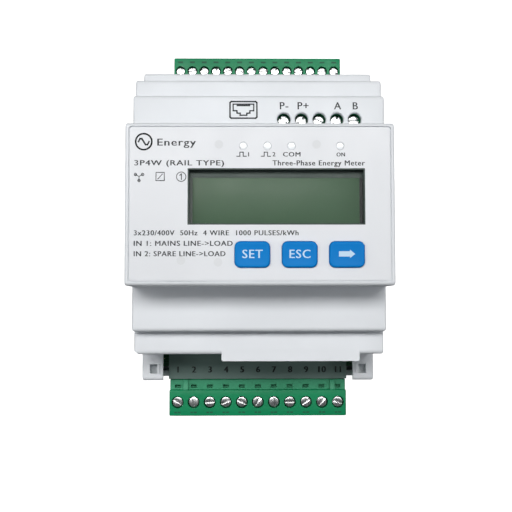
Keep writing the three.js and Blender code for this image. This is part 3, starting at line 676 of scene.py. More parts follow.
def makeFrontCover():
    c = cover
    inside = c["halfWidth"] - c["wall"]
    shell = block("frontCover", (-c["halfWidth"], c["halfWidth"]), (c["seam"], c["nose"]),
                  (-c["noseHalf"], c["noseHalf"]))
    splitAt(shell, 1, c["shoulder"])
    chooseParts(shell, "FACE", lambda at, n: n.z > 0.9 and at.y < c["shoulder"])
    extrude(dz=c["top"] - c["noseHalf"])
    leaveEdit()
    chooseParts(shell, "FACE", lambda at, n: n.z < -0.9 and at.y < c["shoulder"])
    extrude(dz=c["bottom"] + c["noseHalf"])
    leaveEdit()

    def outerCorner(a, b, angle):
        level = abs(a.x - b.x) > 1 and abs(a.y - b.y) < 1e-3
        at = (round(a.y, 1), round(a.z, 1))
        return level and at in ((c["nose"], c["noseHalf"]), (c["nose"], -c["noseHalf"]),
                                (c["shoulder"], c["top"]), (c["shoulder"], c["bottom"]))

    roundEdges(shell, c["edge"], 5, outerCorner)
    roundEdges(shell, c["side"], 3, lambda a, b, angle: angle > 60 and abs(a.x - b.x) < 1e-3
               and abs(a.x) > c["halfWidth"] - 0.01 and max(a.y, b.y) > c["seam"] + 0.01)
    cutters = [
        block("cutter", (-inside, inside), (c["seam"] - 1, c["nose"] - c["wall"]),
              (-c["noseHalf"] + c["wall"], c["noseHalf"] - c["wall"])),
        block("cutter", (-inside, inside), (c["seam"] - 1.2, c["shoulder"] - c["wall"]),
              (c["bottom"] + c["wall"], c["top"] - c["wall"]))]
    carve(shell, cutters)
    carve(shell, [roundedPlate("cutter", (-c["recessX"], c["recessX"]),
                               (-c["recessZ"], c["recessZ"]), c["recessCorner"],
                               c["nose"] - c["recessDepth"], c["nose"] + 1)])
    drivers = [rod("cutter", x, c["driverZ"], c["driverHole"], c["shoulder"] - c["cutBack"],
                   c["shoulder"] + 1, 40) for x in c["driverXs"]]
    carve(shell, faceOpenings(c["nose"] - c["cutBack"]) + drivers)
    carve(shell, [rod("cutter", x, c["driverZ"], c["driverHole"], c["shoulder"] - c["rimDeep"],
                      c["shoulder"] + 0.1, 40, frontRadius=c["driverRim"])
                  for x in c["driverXs"]])
    posts = [rod("post", sx * c["postX"], sz * c["postZ"], c["postRadius"], *c["postDs"], 24)
             for sx in (-1, 1) for sz in (-1, 1)]
    return joinAll([shell] + posts, "frontCover")


finishPiece(makeFrontCover(), "housing", "housing", ["front_cover"], 30)
print("front cover is done")

# rear housing: a cut is its half width, its depths and its heights
rear = {
    "halfWidth": 36, "seam": 38.8, "ledge": 18.5, "foot": -5.5, "floor": 2, "wall": 1.8,
    "bodyTop": 38.9, "bodyBottom": -41.1, "ledgeTop": 46.4, "ledgeBottom": -50.4,
    "edge": 1.2, "side": 0.6, "mouthZs": (-32.6, 31.3), "topBay": (35.3, 44.6),
    "lowBay": (-51.4, -37.5), "recess": (29.59, (15.7, 19.5), (-51.4, -41.1)),
    "topCut": (27.14, (2.2, 13.9), (43.6, 47.4)), "sill": ((13.6, 16.75), (-41.1, -39.3)),
    "backDs": (-3.7, 3), "backTop": (19.5, 44.6), "backLow": (-48.6, -19.5), "spine": 8.1,
    "clipTrack": (6.3, (-4.3, -1.1), (-51.4, -16.5)),
    "springStop": (1.6, (-4.35, -1.05), (-43.5, -41.5)),
    "topWall": (36.1, 39.9), "jackXs": (-12.45, 3.85), "jackDs": (25.85, 36.85),
    "wireHalf": 1.9, "wireDs": (31.5, 35.7), "seamCut": (37, (38.1, 39.8), (-35.2, -34.2)),
    "lipXs": (-10.8, 29), "lipZs": (-43.1, -39.3),
    "notchXs": (-37, -33.6), "notchDs": (18.55, 39.8), "notchZs": (-42.1, -39.9),
    "snapX": 32.5, "snapZ": -46.8, "snapHalfX": 1.15, "snapHalfZ": 1.4,
    "tongueHalf": 1.6, "tongueDs": (14.2, 14.7), "tongueZs": (-1.9, 2.2), "hook": 0.9,
    # bosses and posts: x, z, and the depth that each starts from
    "bosses": ((-30.9, 40.9, -3.75), (30.9, 40.9, -3.75), (-30.9, 0, 1.95),
               (-30.9, -44.5, -3.75), (30.9, -44.5, -3.75)),
    "posts": ((-12.4, -1.4, 1.95), (30.8, -1.4, 1.95), (-12.4, 32.6, -3.75),
              (30.8, 32.6, -3.75)),
}
# the rail's seat: a slot for the rail, and behind it a mouth that widens upwards
rail = {"half": 38, "slotDs": (-1.3, 0), "slotZs": (-17.7, 17.7), "mouthDs": (-7.5, -1.3),
        "mouthZs": (-17.7, 16.2), "flareFrom": -3.3, "flare": 2.4, "reliefDs": (-0.5, 0.4),
        "reliefZs": (15.3, 17.7)}


def middleBlock(name, half, ds, zs):
    return block(name, (-half, half), ds, zs)


def cutRailSeat(shell):
    r = rail
    carve(shell, [middleBlock("cutter", r["half"], r["slotDs"], r["slotZs"])])
    mouth = middleBlock("cutter", r["half"], r["mouthDs"], r["mouthZs"])
    splitAt(mouth, 1, r["flareFrom"])
    chooseParts(mouth, "VERT", lambda at: at.y < -7 and at.z > 16)
    bpy.ops.transform.translate(value=(0, 0, r["flare"] * mm))
    leaveEdit()
    carve(shell, [mouth])
    low, high = r["reliefZs"]
    carve(shell, [middleBlock("cutter", r["half"], r["reliefDs"], (low, high)),
                  middleBlock("cutter", r["half"], r["reliefDs"], (-high, -low))])


def cutLedges(shell):
    # the notch at the body's lower left corner, and the lip over the bottom header
    r = rear
    lip = block("lip", r["lipXs"], (r["seam"] - r["wall"], r["seam"]), r["lipZs"])
    roundEdges(lip, 0.5, 3, lambda a, b, angle: abs(a.y - b.y) > 1 and max(a.z, b.z) < -43)
    carve(shell, [lip], "UNION")
    notch = block("cutter", r["notchXs"], r["notchDs"], r["notchZs"])
    chooseParts(notch, "VERT", lambda at: at.x > -34 and at.z > -40)
    bpy.ops.transform.translate(value=(-2.6 * mm, 0, 0))
    leaveEdit()
    carve(shell, [notch])


def addSnaps(shell):
    # the two windows at the foot, each with a hook, and the tongues behind them
    r = rear
    tongues = []
    for side in (-1, 1):
        x, z = side * r["snapX"], r["snapZ"]
        span = (z - r["snapHalfZ"], z + r["snapHalfZ"])
        carve(shell, [block("cutter", (x - r["snapHalfX"], x + r["snapHalfX"]), (16, 19.5),
                            span)])
        edge = x - side * r["snapHalfX"]
        hook = block("hook", (edge, edge - side * r["hook"]), (16.8, 19.1), span)
        roundEdges(hook, 0.35, 4, lambda a, b, angle: min(a.y, b.y) > 19
                   and abs(a.z - b.z) > 1)
        carve(shell, [hook], "UNION")
        across = (x - r["tongueHalf"], x + r["tongueHalf"])
        low, high = (z + end for end in r["tongueZs"])
        tongues += [block("tongue", across, r["tongueDs"], (low, high)),
                    block("tongue", across, (r["tongueDs"][0], 16.75), (high - 0.5, high))]
    return tongues


def makeRearHousing():
    r = rear
    half, wall = r["halfWidth"], r["wall"]
    inside = half - wall
    shell = middleBlock("rearHousing", half, (r["foot"], r["ledge"]),
                        (r["ledgeBottom"], r["ledgeTop"]))
    splitAt(shell, 2, r["bodyTop"], r["bodyBottom"])
    chooseParts(shell, "FACE", lambda at, n: n.y < -0.9 and r["bodyBottom"] < at.z < r["bodyTop"])
    extrude(dd=r["seam"] - r["ledge"])
    leaveEdit()
    corners = {(r["foot"], r["ledgeTop"]), (r["ledge"], r["ledgeTop"]), (r["seam"], r["bodyTop"]),
               (r["seam"], r["bodyBottom"]), (r["ledge"], r["ledgeBottom"]),
               (r["foot"], r["ledgeBottom"])}
    roundEdges(shell, r["edge"], 5, lambda a, b, angle: abs(a.x - b.x) > 1
               and (round(a.y, 1), round(a.z, 1)) in corners)
    roundEdges(shell, r["side"], 3, lambda a, b, angle: angle > 60 and abs(a.x - b.x) < 1e-3
               and abs(a.x) > half - 0.01)
    bayDs = (r["floor"] + 0.001, r["ledge"] - wall)
    carve(shell, [middleBlock("cutter", inside, (r["floor"], r["seam"] - wall),
                              (r["bodyBottom"] + wall, r["bodyTop"] - wall))])
    carve(shell, [middleBlock("cutter", inside, (36, 40), r["mouthZs"]),
                  middleBlock("cutter", inside, bayDs, r["topBay"]),
                  middleBlock("cutter", inside, bayDs, r["lowBay"])])
    carve(shell, [middleBlock("cutter", *r["recess"]), middleBlock("cutter", *r["topCut"])])
    carve(shell, [middleBlock("joined", inside + 0.05, *r["sill"])], "UNION")
    cutRailSeat(shell)
    carve(shell, [middleBlock("cutter", inside, r["backDs"], r["backTop"]),
                  block("cutter", (-inside, -r["spine"]), r["backDs"], r["backLow"]),
                  block("cutter", (r["spine"], inside), r["backDs"], r["backLow"])])
    carve(shell, [middleBlock("cutter", *r["clipTrack"])])
    carve(shell, [middleBlock("joined", *r["springStop"])], "UNION")
    wires = [block("cutter", (x - r["wireHalf"], x + r["wireHalf"]), r["wireDs"], r["topWall"])
             for x in cover["driverXs"]]
    carve(shell, [block("cutter", r["jackXs"], r["jackDs"], r["topWall"])] + wires)
    carve(shell, [middleBlock("cutter", *r["seamCut"])])
    cutLedges(shell)
    tongues = addSnaps(shell)
    bosses = [rod("boss", x, z, 2.5, back, 3, 24) for x, z, back in r["bosses"]]
    posts = [rod("post", x, z, 1.6, back, 24.35, 24) for x, z, back in r["posts"]]
    return joinAll([shell] + tongues + bosses + posts, "rearHousing")


finishPiece(makeRearHousing(), "housing", "housing", ["rear_housing"], 30)
print("rear housing is done")

# printed film and its marks
film = {"front": 59.95, "back": 59.6, "halfX": 34.7, "halfZ": 20.5, "corner": 0.8,
        "cutBack": 58}


def makeFilm():
    f = film
    sheet = roundedPlate("printedFilm", (-f["halfX"], f["halfX"]), (-f["halfZ"], f["halfZ"]),
                         f["corner"], f["back"], f["front"])
    return carve(sheet, faceOpenings(f["cutBack"]))


def makeFilmMarks():
    d = film["front"]
    marks = [
        wordMark("Energy", -27.4, 16.5, 1.9, d, width=10.2),
        ringMark(-31.0, 16.6, 2.15, 0.42, d, 32),
        stroke([(-32.4, 16.6), (-32.0, 17.4), (-31.5, 17.4), (-31.0, 16.6), (-30.5, 15.8),
                (-30.0, 15.8), (-29.6, 16.6)], 0.4, d),
        wordMark("3P4W (RAIL TYPE)", -33.5, 10.95, 1.42, d, width=23.8),
        wordMark("Three-Phase Energy Meter", 27.9, 10.95, 1.4, d, "RIGHT", width=24.6),
        wordMark("3x230/400V  50Hz  4 WIRE  1000 PULSES/kWh", -33.5, -7.75, 1.35, d, width=43.6),
        wordMark("IN 1: MAINS LINE->LOAD", -33.5, -10.55, 1.35, d, width=26.1),
        wordMark("IN 2: SPARE LINE->LOAD", -33.5, -13.3, 1.35, d, width=24.2),
    ]
    for x, label in ((-4.5, "1"), (2.0, "2")):
        marks += [pulseMark(x - 0.35, 13.25, d), wordMark(label, x + 1.3, 13.25, 1.15, d)]
    marks += [wordMark("COM", 8.4, 13.25, 1.2, d, "CENTER", width=4.6),
              wordMark("ON", 21.5, 13.2, 1.05, d, "CENTER", width=2.2)]
    for turn in (90, 210, 330):
        reach = math.radians(turn + 180)
        end = (-32.2 + 1.1 * math.cos(reach), 7.25 + 1.1 * math.sin(reach))
        marks += [stroke([(-32.2, 7.25), end], 0.2, d), ringMark(*end, 0.32, 0.18, d, 12)]
    marks += [stroke([(-27.7, 6.15), (-25.5, 6.15), (-25.5, 8.35), (-27.7, 8.35)], 0.2, d, True),
              stroke([(-27.2, 6.6), (-26.0, 7.9)], 0.2, d),
              ringMark(-21.0, 7.2, 1.25, 0.2, d),
              stroke([(-21.35, 7.6), (-20.95, 7.95), (-20.95, 6.45)], 0.24, d)]
    return joinAll(marks, "filmMarks")


finishPiece(makeFilm(), "film", "housing", ["front_film"])
finishPiece(makeFilmMarks(), "ink", "housing")
# faint discs a shade darker than the film
faintSpots = [rod("spot", x, z, 1.15, film["front"] - 0.02, film["front"] + 0.01)
              for x, z in ((-11.0, 15.9), (15.1, 15.9), (-21.0, -15.1), (-11.2, -15.6))]
finishPiece(joinAll(faintSpots, "filmSpots"), "faintDiscTone", "housing")


def makeShoulderMarks():
    d = cover["shoulder"]
    marks = [wordMark(label, x, 30.1, 2.1, d, "CENTER") for label, x in (
        ("P-", 7.15), ("P+", 12.6), ("A", 22.5), ("B", 27.6))]
    outline = [(-8.3, 26.8), (-8.3, 30.9), (-7.95, 31.25), (-0.95, 31.25), (-0.6, 30.9),
               (-0.6, 26.8), (-0.95, 26.45), (-7.95, 26.45)]
    socket = [(-7.4, 28.6), (-7.4, 30.5), (-1.5, 30.5), (-1.5, 28.6), (-2.6, 28.6),
              (-2.6, 27.9), (-3.5, 27.9), (-3.5, 27.3), (-5.4, 27.3), (-5.4, 27.9),
              (-6.3, 27.9), (-6.3, 28.6)]
    marks += [stroke(outline, 0.42, d, True), stroke(socket, 0.36, d, True),
              stroke([(-6.2, 30.1), (-2.7, 30.1)], 0.4, d)]
    return joinAll(marks, "shoulderMarks")


finishPiece(makeShoulderMarks(), "ink", "housing")
print("film and printed marks are done")

# display
# the bands round the display glass are painted light: a dark top band for the shadow under the
# window's top edge, and side bands for a lit wall and a shaded wall
display = {"pane": (57.35, 58.15), "glass": (55.25, 57.05), "joint": 56.15, "lap": 1.5,
           "trim": 0.36, "maskDepths": (57.08, 57.3), "maskTop": 2.15, "maskSide": 1.15,
           "maskLow": 0.5}


def makeDisplay():
    left, right, low, high = cover["window"]
    lap = display["lap"]
    xs, zs = (left - lap, right + lap), (low - lap, high + lap)
    pane = block("windowPane", xs, display["pane"], zs)
    softenEdges(pane, 0.08)
    finishPiece(pane, "pane", "housing", ["display_window"])
    glass = block("displayGlass", xs, display["glass"], zs)
    splitAt(glass, 1, display["joint"])
    softenEdges(glass, 0.06)
    finishPiece(glass, "display", "housing", ["display_glass"])
    trim = block("windowTrim", (left, right), (58.25, 59.9), (low, high))
    carve(trim, [block("cutter", (left + display["trim"], right - display["trim"]), (57, 61),
                       (low + display["trim"], high - display["trim"]))])
    finishPiece(trim, "bezel", "housing")
    # painted light: the top band is painted shadow, the left and low bands are painted lit grey,
    # and the right band is painted black shade
    depths = display["maskDepths"]
    topEdge, side = high - display["maskTop"], display["maskSide"]
    finishPiece(block("displayTopShadow", (left, right), depths, (topEdge, high)), "bezel",
                "housing")
    finishPiece(block("displayLeftLitWall", (left, left + side), depths, (low, topEdge)),
                "bezelSide", "housing")
    finishPiece(block("displayRightWallShade", (right - side, right), depths, (low, topEdge)),
                "black", "housing")
    finishPiece(block("displayLowLitBand", (left + side, right - side), depths,
                      (low, low + display["maskLow"])), "bezelSide", "housing")


makeDisplay()
print("display is done")

# buttons and lights
button = {"half": (4.7, 3.5), "corner": 1.6, "front": 60.9, "back": 58.1, "round": 0.55,
          "rim": 0.5, "dish": 0.1, "flange": 1, "flangeDs": (57.15, 58.15), "stem": 1.6,
          "stemDs": (56.55, 57.2)}
guide = {"barXs": (-6, 22.9), "barDs": (56.5, 57.9), "barZs": (14, 17), "head": 1.07,
         "headDs": (57.95, 59.95), "leg": 0.95, "legDs": (53.45, 56.55)}


def makeButton(name, x, node):
    # each button's body has its node's name
    b = button
    halfX, halfZ = b["half"]
    z, lap = cover["buttonZ"], b["flange"]
    cap = roundedPlate(name, (x - halfX, x + halfX), (z - halfZ, z + halfZ), b["corner"],
                       b["back"], b["front"], 8)
    roundEdges(cap, b["round"], 5, lambda a, c, angle: min(a.y, c.y) > b["front"] - 0.01
               and angle > 60)
    chooseParts(cap, "FACE", lambda at, n: n.y < -0.99 and at.y > b["front"] - 0.01)
    bpy.ops.mesh.inset(thickness=b["rim"] * mm)
    bpy.ops.transform.translate(value=(0, b["dish"] * mm, 0))
    leaveEdit()
    flange = roundedPlate("flange", (x - halfX - lap, x + halfX + lap),
                          (z - halfZ - lap, z + halfZ + lap), b["corner"] + lap,
                          *b["flangeDs"])
    stem = rod("stem", x, z, b["stem"], *b["stemDs"], 24)
    joined = joinAll([cap, flange, stem], name)
    return finishPiece(joined, "blue", node, [node], 40)


buttonFace = button["front"] - button["dish"]
for name, x, node in zip(("setButton", "escapeButton", "nextButton"), cover["buttonXs"],
                         ("set_button", "escape_button", "next_button")):
    makeButton(name, x, node)
finishPiece(wordMark("SET", cover["buttonXs"][0], -13.4, 2.25, buttonFace, "CENTER", 5.3),
            "paleInk", "set_button").name = "setLettering"
finishPiece(wordMark("ESC", cover["buttonXs"][1], -13.4, 2.25, buttonFace, "CENTER", 5.5),
            "paleInk", "escape_button").name = "escapeLettering"
arrowX = cover["buttonXs"][2]
arrow = block("nextArrow", (arrowX - 2.2, arrowX + 0.7), (buttonFace - 0.03, buttonFace + 0.03),
              (-14.15, -12.75))
splitAt(arrow, 0, arrowX + 0.69)
chooseParts(arrow, "FACE", lambda at, n: n.x > 0.9)
extrude(dx=0.02)
bpy.ops.transform.resize(value=(1, 1, 1.6),
                         center_override=((arrowX + 0.72) * mm, -buttonFace * mm, -0.01345))
extrude(dx=1.3)
bpy.ops.transform.resize(value=(1, 1, 0.06),
                         center_override=((arrowX + 2.02) * mm, -buttonFace * mm, -0.01345))
leaveEdit()
finishPiece(arrow, "paleInk", "next_button")


def makeLightGuide():
    g = guide
    bar = block("lightGuide", g["barXs"], g["barDs"], g["barZs"])
    softenEdges(bar, 0.25)
    pieces = [bar]
    for x in cover["lights"]:
        head = rod("head", x, cover["lightZ"], g["head"], *g["headDs"], 32)
        roundEdges(head, 0.28, 4, lambda a, b, angle: min(a.y, b.y) > 59.9 and angle > 60)
        pieces += [head, rod("leg", x, cover["lightZ"], g["leg"], *g["legDs"], 24)]
    return joinAll(pieces, "lightGuide")


finishPiece(makeLightGuide(), "guide", "housing", ["light_guide"], 50)
print("buttons and lights are done")

# clamp screws
screwSize = {"head": 1.6, "shank": 0.95, "length": 4, "slotWide": 0.62, "slotDeep": 0.75,
             "threadFrom": -1.9, "step": 0.2, "steps": 10, "root": 0.82}
slotAngles = {
    "bottom": (-30, 88, 4, 22, -22, 52, -68, 2, 32, 46, -14),
    "top": (70, 15, -40, 85, 20, -15, 40, 5, 65, -30, 25, -60, 10, -45),
    "aux": (-42, 50, -25, 75, 12),
}


def makeScrewModel(radius):
    s = screwSize
    head = rod("screwModel", 0, 0, radius, -s["head"], 0, 40)
    roundEdges(head, 0.22, 3, lambda a, b, angle: min(a.y, b.y) > -0.01 and angle > 60)
    slot = block("cutter", (-2 * radius, 2 * radius), (-s["slotDeep"], 1),
                 (-s["slotWide"] / 2, s["slotWide"] / 2))
    carve(head, [slot])
    softenEdges(head, 0.13, 2, 60)
    shank = rod("shank", 0, 0, s["shank"], -s["length"], -s["head"] + 0.05, 24)
    places = [s["threadFrom"] - s["step"] * turn for turn in range(s["steps"])]
    splitAt(shank, 1, *places)
    for depth in places[::2]:
        chooseParts(shank, "VERT", lambda at: abs(at.y - depth) < 0.01)
        bpy.ops.transform.resize(value=(s["root"], 1, s["root"]),
                                 center_override=(0, -depth * mm, 0))
        leaveEdit()
    return joinAll([head, shank], "screwModel")


def placeScrews(model, prefix, digits, xs, z, front, angles):
    for number, x in enumerate(xs, 1):
        node = prefix + str(number).zfill(digits)
        words = node.split("_")
        name = words[0] + "Screw" + words[-1]
        screw = copyOf(model, name, x, front, z, -angles[number - 1])
        finishPiece(screw, "screw", node, [node], 30)


bottomXs = [(way - 5) * 5.08 for way in range(11)]
topXs = [(way - 6.5) * 3.81 for way in range(14)]
wideScrew = makeScrewModel(1.65)
smallScrew = makeScrewModel(1.35)
placeScrews(wideScrew, "bottom_screw_", 2, bottomXs, -57.7, 12.9, slotAngles["bottom"])
placeScrews(smallScrew, "top_screw_", 2, topXs, 48.5, 12.9, slotAngles["top"])
placeScrews(wideScrew, "aux_screw_", 1, cover["driverXs"], 26.2, 41.2, slotAngles["aux"])
bpy.data.objects.remove(wideScrew)
bpy.data.objects.remove(smallScrew)
print("screws are done")

# plugs and headers
topPlug = {"half": 26.84, "zs": (44.3, 52.7), "ds": (2.5, 13.6), "soft": 0.3, "screwZ": 48.5,
           "well": 1.6, "wellSides": 32, "entry": (2.6, 3), "wireZs": (45.7, 53.7),
           "grooveZs": (51.9, 53), "tongueHalf": 26.37, "tongueDs": (5.9, 10.8),
           "tongueZs": (38.0, 44.35), "pinDs": (7.65, 9.05), "pinZs": (37, 44)}
bottomPlug = {"half": 27.99, "zs": (-62, -53.8), "ds": (-0.8, 13.6), "soft": 0.35,
              "screwZ": -57.7, "well": 1.9, "wellSides": 40, "entry": (3.9, 3.8),
              "wireZs": (-63, -55), "tongueHalf": 26.69, "tongueDs": (6.2, 11.8),
              "tongueZs": (-50.75, -41.9), "pinDs": (8.3, 9.7), "pinZs": (-50, -41),
              "neckHalf": 27.89, "neckDs": (1, 11.8), "neckZs": (-53.85, -50.7),
              "windowHalf": 0.95, "windowDs": (9.7, 12.8), "windowZs": (-53.35, -52.3),
              "ribXs": (-22.9, 23.7), "ribHalf": 0.8, "ribDs": (11.7, 13.3)}
wellBack = 8.6          # the screw wells' floor
markDs = (13.57, 13.63)  # the ink on the plugs' front faces
headers = {
    "topHeader": {"half": 27.57, "ds": (4.7, 12.0), "inner": 34.8, "mouth": 44.0,
                  "cavity": 6.9, "wall": 0.9, "pinXs": topXs, "pinD": 8.35},
    "bottomHeader": {"half": 28.19, "ds": (4.7, 13.3), "inner": -38.4, "mouth": -50.4,
                     "cavity": 9.7, "wall": 1.2, "pinXs": bottomXs, "pinD": 9.0},
}


def makePlug(name, p, xs):
    body = middleBlock(name, p["half"], p["ds"], p["zs"])
    softenEdges(body, p["soft"], 3)
    middle = (wellBack + p["ds"][0]) / 2
    wide, deep = p["entry"]
    cutters = []
    for x in xs:
        cutters += [rod("cutter", x, p["screwZ"], p["well"], wellBack, 14.6, p["wellSides"]),
                    block("cutter", (x - wide / 2, x + wide / 2),
                          (middle - deep / 2, middle + deep / 2), p["wireZs"])]
    carve(body, cutters)
    if "grooveZs" in p:
        carve(body, [block("cutter", ((a + b) / 2 - 0.1, (a + b) / 2 + 0.1),
                           (p["ds"][1] - 0.12, 14), p["grooveZs"])
                     for a, b in zip(xs, xs[1:])])
    tongue = middleBlock("tongue", p["tongueHalf"], p["tongueDs"], p["tongueZs"])
    carve(tongue, [block("cutter", (x - 0.7, x + 0.7), p["pinDs"], p["pinZs"]) for x in xs])
    return joinAll([body, tongue], name)


def makePlugNeck():
    # the step between the plug's body and the part that goes into its header, painted paler green
    # as a painted highlight on the same plastic
    p = bottomPlug
    neck = middleBlock("neck", p["neckHalf"], p["neckDs"], p["neckZs"])
    carve(neck, [block("cutter", (x - p["windowHalf"], x + p["windowHalf"]), p["windowDs"],
                       p["windowZs"]) for x in bottomXs])
    ribs = []
    for x in p["ribXs"]:
        rib = block("rib", (x - p["ribHalf"], x + p["ribHalf"]), p["ribDs"], p["neckZs"])
        chooseParts(rib, "VERT", lambda at: at.y > 13 and at.z > -51)
        bpy.ops.transform.translate(value=(0, 0.9 * mm, 0))
        leaveEdit()
        ribs.append(softenEdges(rib, 0.15))
    return joinAll([neck] + ribs, "bottomPlugNeck")


def makeHeader(name):
    h = headers[name]
    side = 1 if h["mouth"] > 0 else -1
    body = middleBlock(name, h["half"], h["ds"], (h["inner"], h["mouth"]))
    softenEdges(body, 0.15, 2)
    carve(body, [middleBlock("cutter", h["half"] - h["wall"],
                             (h["ds"][0] + h["wall"], h["ds"][1] - h["wall"]),
                             (h["mouth"] - side * h["cavity"], h["mouth"] + side))])
    pins = []
    for x in h["pinXs"]:
        pin = block("pin", (x - 0.38, x + 0.38), (h["pinD"] - 0.38, h["pinD"] + 0.38),
                    (h["inner"] + side * 0.5, h["mouth"] - side * 2))
        pins.append(softenEdges(pin, 0.14))
    return body, joinAll(pins, name + "Pins")


def makeCages(name, xs, z, depth, wide, deep, long, wall=0.3):
    # the clamps' steel cages, each with three gripping lips
    model = middleBlock("cage", wide / 2, (-deep / 2, deep / 2), (-long / 2, long / 2))
    softenEdges(model, 0.2)
    carve(model, [middleBlock("cutter", wide / 2 - wall, (wall - deep / 2, deep / 2 - wall),
                              (-long, long))])
    lips = [middleBlock("lip", wide / 2 - wall, (-deep / 2 + 0.25, -deep / 2 + 0.5),
                        (at - 0.15, at + 0.15)) for at in (-long / 4, 0, long / 4)]
    model = joinAll([model] + lips, "cage")
    cages = [copyOf(model, "cage", x, depth, z) for x in xs]
    bpy.data.objects.remove(model)
    return joinAll(cages, name)


marks = [block("mark", (x - 0.8, x + 0.8), markDs, (51.05, 51.6)) for x in topXs]
finishPiece(joinAll(marks, "topPlugMarks"), "greenInk", "top_plug")
marks = [block("mark", (x + left, x + right), markDs, (-61.1, -60.65))
         for x in bottomXs for left, right in ((-1.0, -0.2), (0.05, 1.0))]
finishPiece(joinAll(marks, "bottomPlugMarks"), "greenInk", "bottom_plug")
for name, plug, xs, node in (("topPlug", topPlug, topXs, "top_plug"),
                             ("bottomPlug", bottomPlug, bottomXs, "bottom_plug")):
    finishPiece(makePlug(name, plug, xs), "green", node, [node])
finishPiece(makePlugNeck(), "neck", "bottom_plug")
finishPiece(makeCages("topCages", topXs, 49.4, 5.55, 2.5, 2.9, 5.4), "clamp", "top_plug")
finishPiece(makeCages("bottomCages", bottomXs, -58.2, 3.9, 3.8, 3.7, 5.8), "clamp",
            "bottom_plug")
for name, node in (("topHeader", "top_header"), ("bottomHeader", "bottom_header")):
    header, pins = makeHeader(name)
    finishPiece(header, "header", "housing", [node])
    finishPiece(pins, "gold", "housing")
numbers = [wordMark(str(number), x, -47.4, 1.9, 13.3, "CENTER", bold=0.22)
           for number, x in enumerate(bottomXs, 1)]
finishPiece(joinAll(numbers, "headerNumbers"), "headerInk", "housing")
print("plugs and headers are done")

# the terminal block and the network jack behind the top wall
aux = {"xs": (4.61, 30.01), "ds": (26.05, 36.7), "zs": (20.5, 36.8), "stepZ": 30.7,
       "rise": 5.2, "well": 1.95, "wellDs": (36.9, 43), "wireHalf": 1.9,
       "wireDs": (31.5, 35.7), "wireZs": (24.2, 37.8)}
jack = {"middle": -4.3, "half": 8, "ds": (26.05, 36.7), "zs": (18.6, 38.6), "portHalf": 5.9,
        "portDs": (27.25, 34.15), "latchHalf": 3, "latchDs": (34.1, 35.75),
        "openZs": (26.6, 39.6), "tabX": 6.6, "ways": 8, "pitch": 1.02}


def makeAuxBlock():
    a = aux
    body = block("auxBlock", a["xs"], a["ds"], a["zs"])
    splitAt(body, 2, a["stepZ"])
    chooseParts(body, "FACE", lambda at, n: n.y < -0.9 and at.z < a["stepZ"])
    extrude(dd=a["rise"])
    leaveEdit()
    softenEdges(body, 0.2)
    cutters = []
    for x in cover["driverXs"]:
        cutters += [rod("cutter", x, cover["driverZ"], a["well"], *a["wellDs"], 40),
                    block("cutter", (x - a["wireHalf"], x + a["wireHalf"]), a["wireDs"],
                          a["wireZs"])]
    return carve(body, cutters)


def makeJack():
    j = jack
    middle = j["middle"]
    shield = block("networkJack", (middle - j["half"], middle + j["half"]), j["ds"], j["zs"])
    softenEdges(shield, 0.4, 3)
    for half, depths in ((j["portHalf"], j["portDs"]), (j["latchHalf"], j["latchDs"])):
        carve(shield, [block("cutter", (middle - half, middle + half), depths, j["openZs"])])
    tabs = []
    for side in (-1, 1):
        x = middle + side * j["tabX"]
        tabs.append(block("tab", (x - 0.5, x + 0.5), (36.6, 36.8), (21, 26)))
    return joinAll([shield] + tabs, "networkJack")


def makeContacts():
    # one spring contact, bent down in its middle, and copied along the port
    j = jack
    model = middleBlock("contact", 0.2, (27.3, 27.6), (27, 37.5))
    splitAt(model, 2, 31, 34)
    chooseParts(model, "VERT", lambda at: 30 < at.z < 33)
    bpy.ops.transform.translate(value=(0, -1.6 * mm, 0))
    leaveEdit()
    softenEdges(model, 0.06)
    contacts = [copyOf(model, "contact", j["middle"] + (way - 3.5) * j["pitch"])
                for way in range(j["ways"])]
    bpy.data.objects.remove(model)
    return joinAll(contacts, "jackContacts")


finishPiece(makeAuxBlock(), "green", "housing", ["aux_terminal_block"])
finishPiece(makeCages("auxCages", cover["driverXs"], 30.2, 33.6, 3.7, 4.1, 10), "clamp",
            "housing")
finishPiece(makeJack(), "shield", "housing", ["network_jack"])
finishPiece(makeContacts(), "gold", "housing")
print("sockets are done")

# rail clip and its spring
clip = {"half": 6, "ds": (-4.0, -1.4), "zs": (-54.5, -16.2), "windowHalf": 2.8,
        "windowZs": (-43.8, -27.0), "holeHalf": 2.5, "holeZs": (-53.1, -51.3)}
spring = {"radius": 1.1, "wire": 0.2, "turns": 10, "top": -27.3, "bottom": -41.2, "depth": -2.7,
          "keep": 0.676}


def makeClip():
    k = clip
    body = block("railClip", (-k["half"], k["half"]), k["ds"], k["zs"])
    roundEdges(body, 1.15, 1, lambda a, b, angle: abs(a.x - b.x) > 1
               and min(a.z, b.z) > -17 and max(a.y, b.y) < -3.9)
    roundEdges(body, 1.0, 5, lambda a, b, angle: abs(a.y - b.y) > 1 and max(a.z, b.z) < -54)
    softenEdges(body, 0.2, 2, 50)
    carve(body, [block("cutter", (-k["windowHalf"], k["windowHalf"]), (-5, 0), k["windowZs"]),
                 roundedPlate("cutter", (-k["holeHalf"], k["holeHalf"]), k["holeZs"], 0.8, -5, 0)])
    grooves = [block("cutter", (-4.5, 4.5), (-4.4, -3.75), (z - 0.25, z + 0.25))
               for z in (-49.4, -48.2, -47.0, -45.8)]
    return carve(body, grooves)


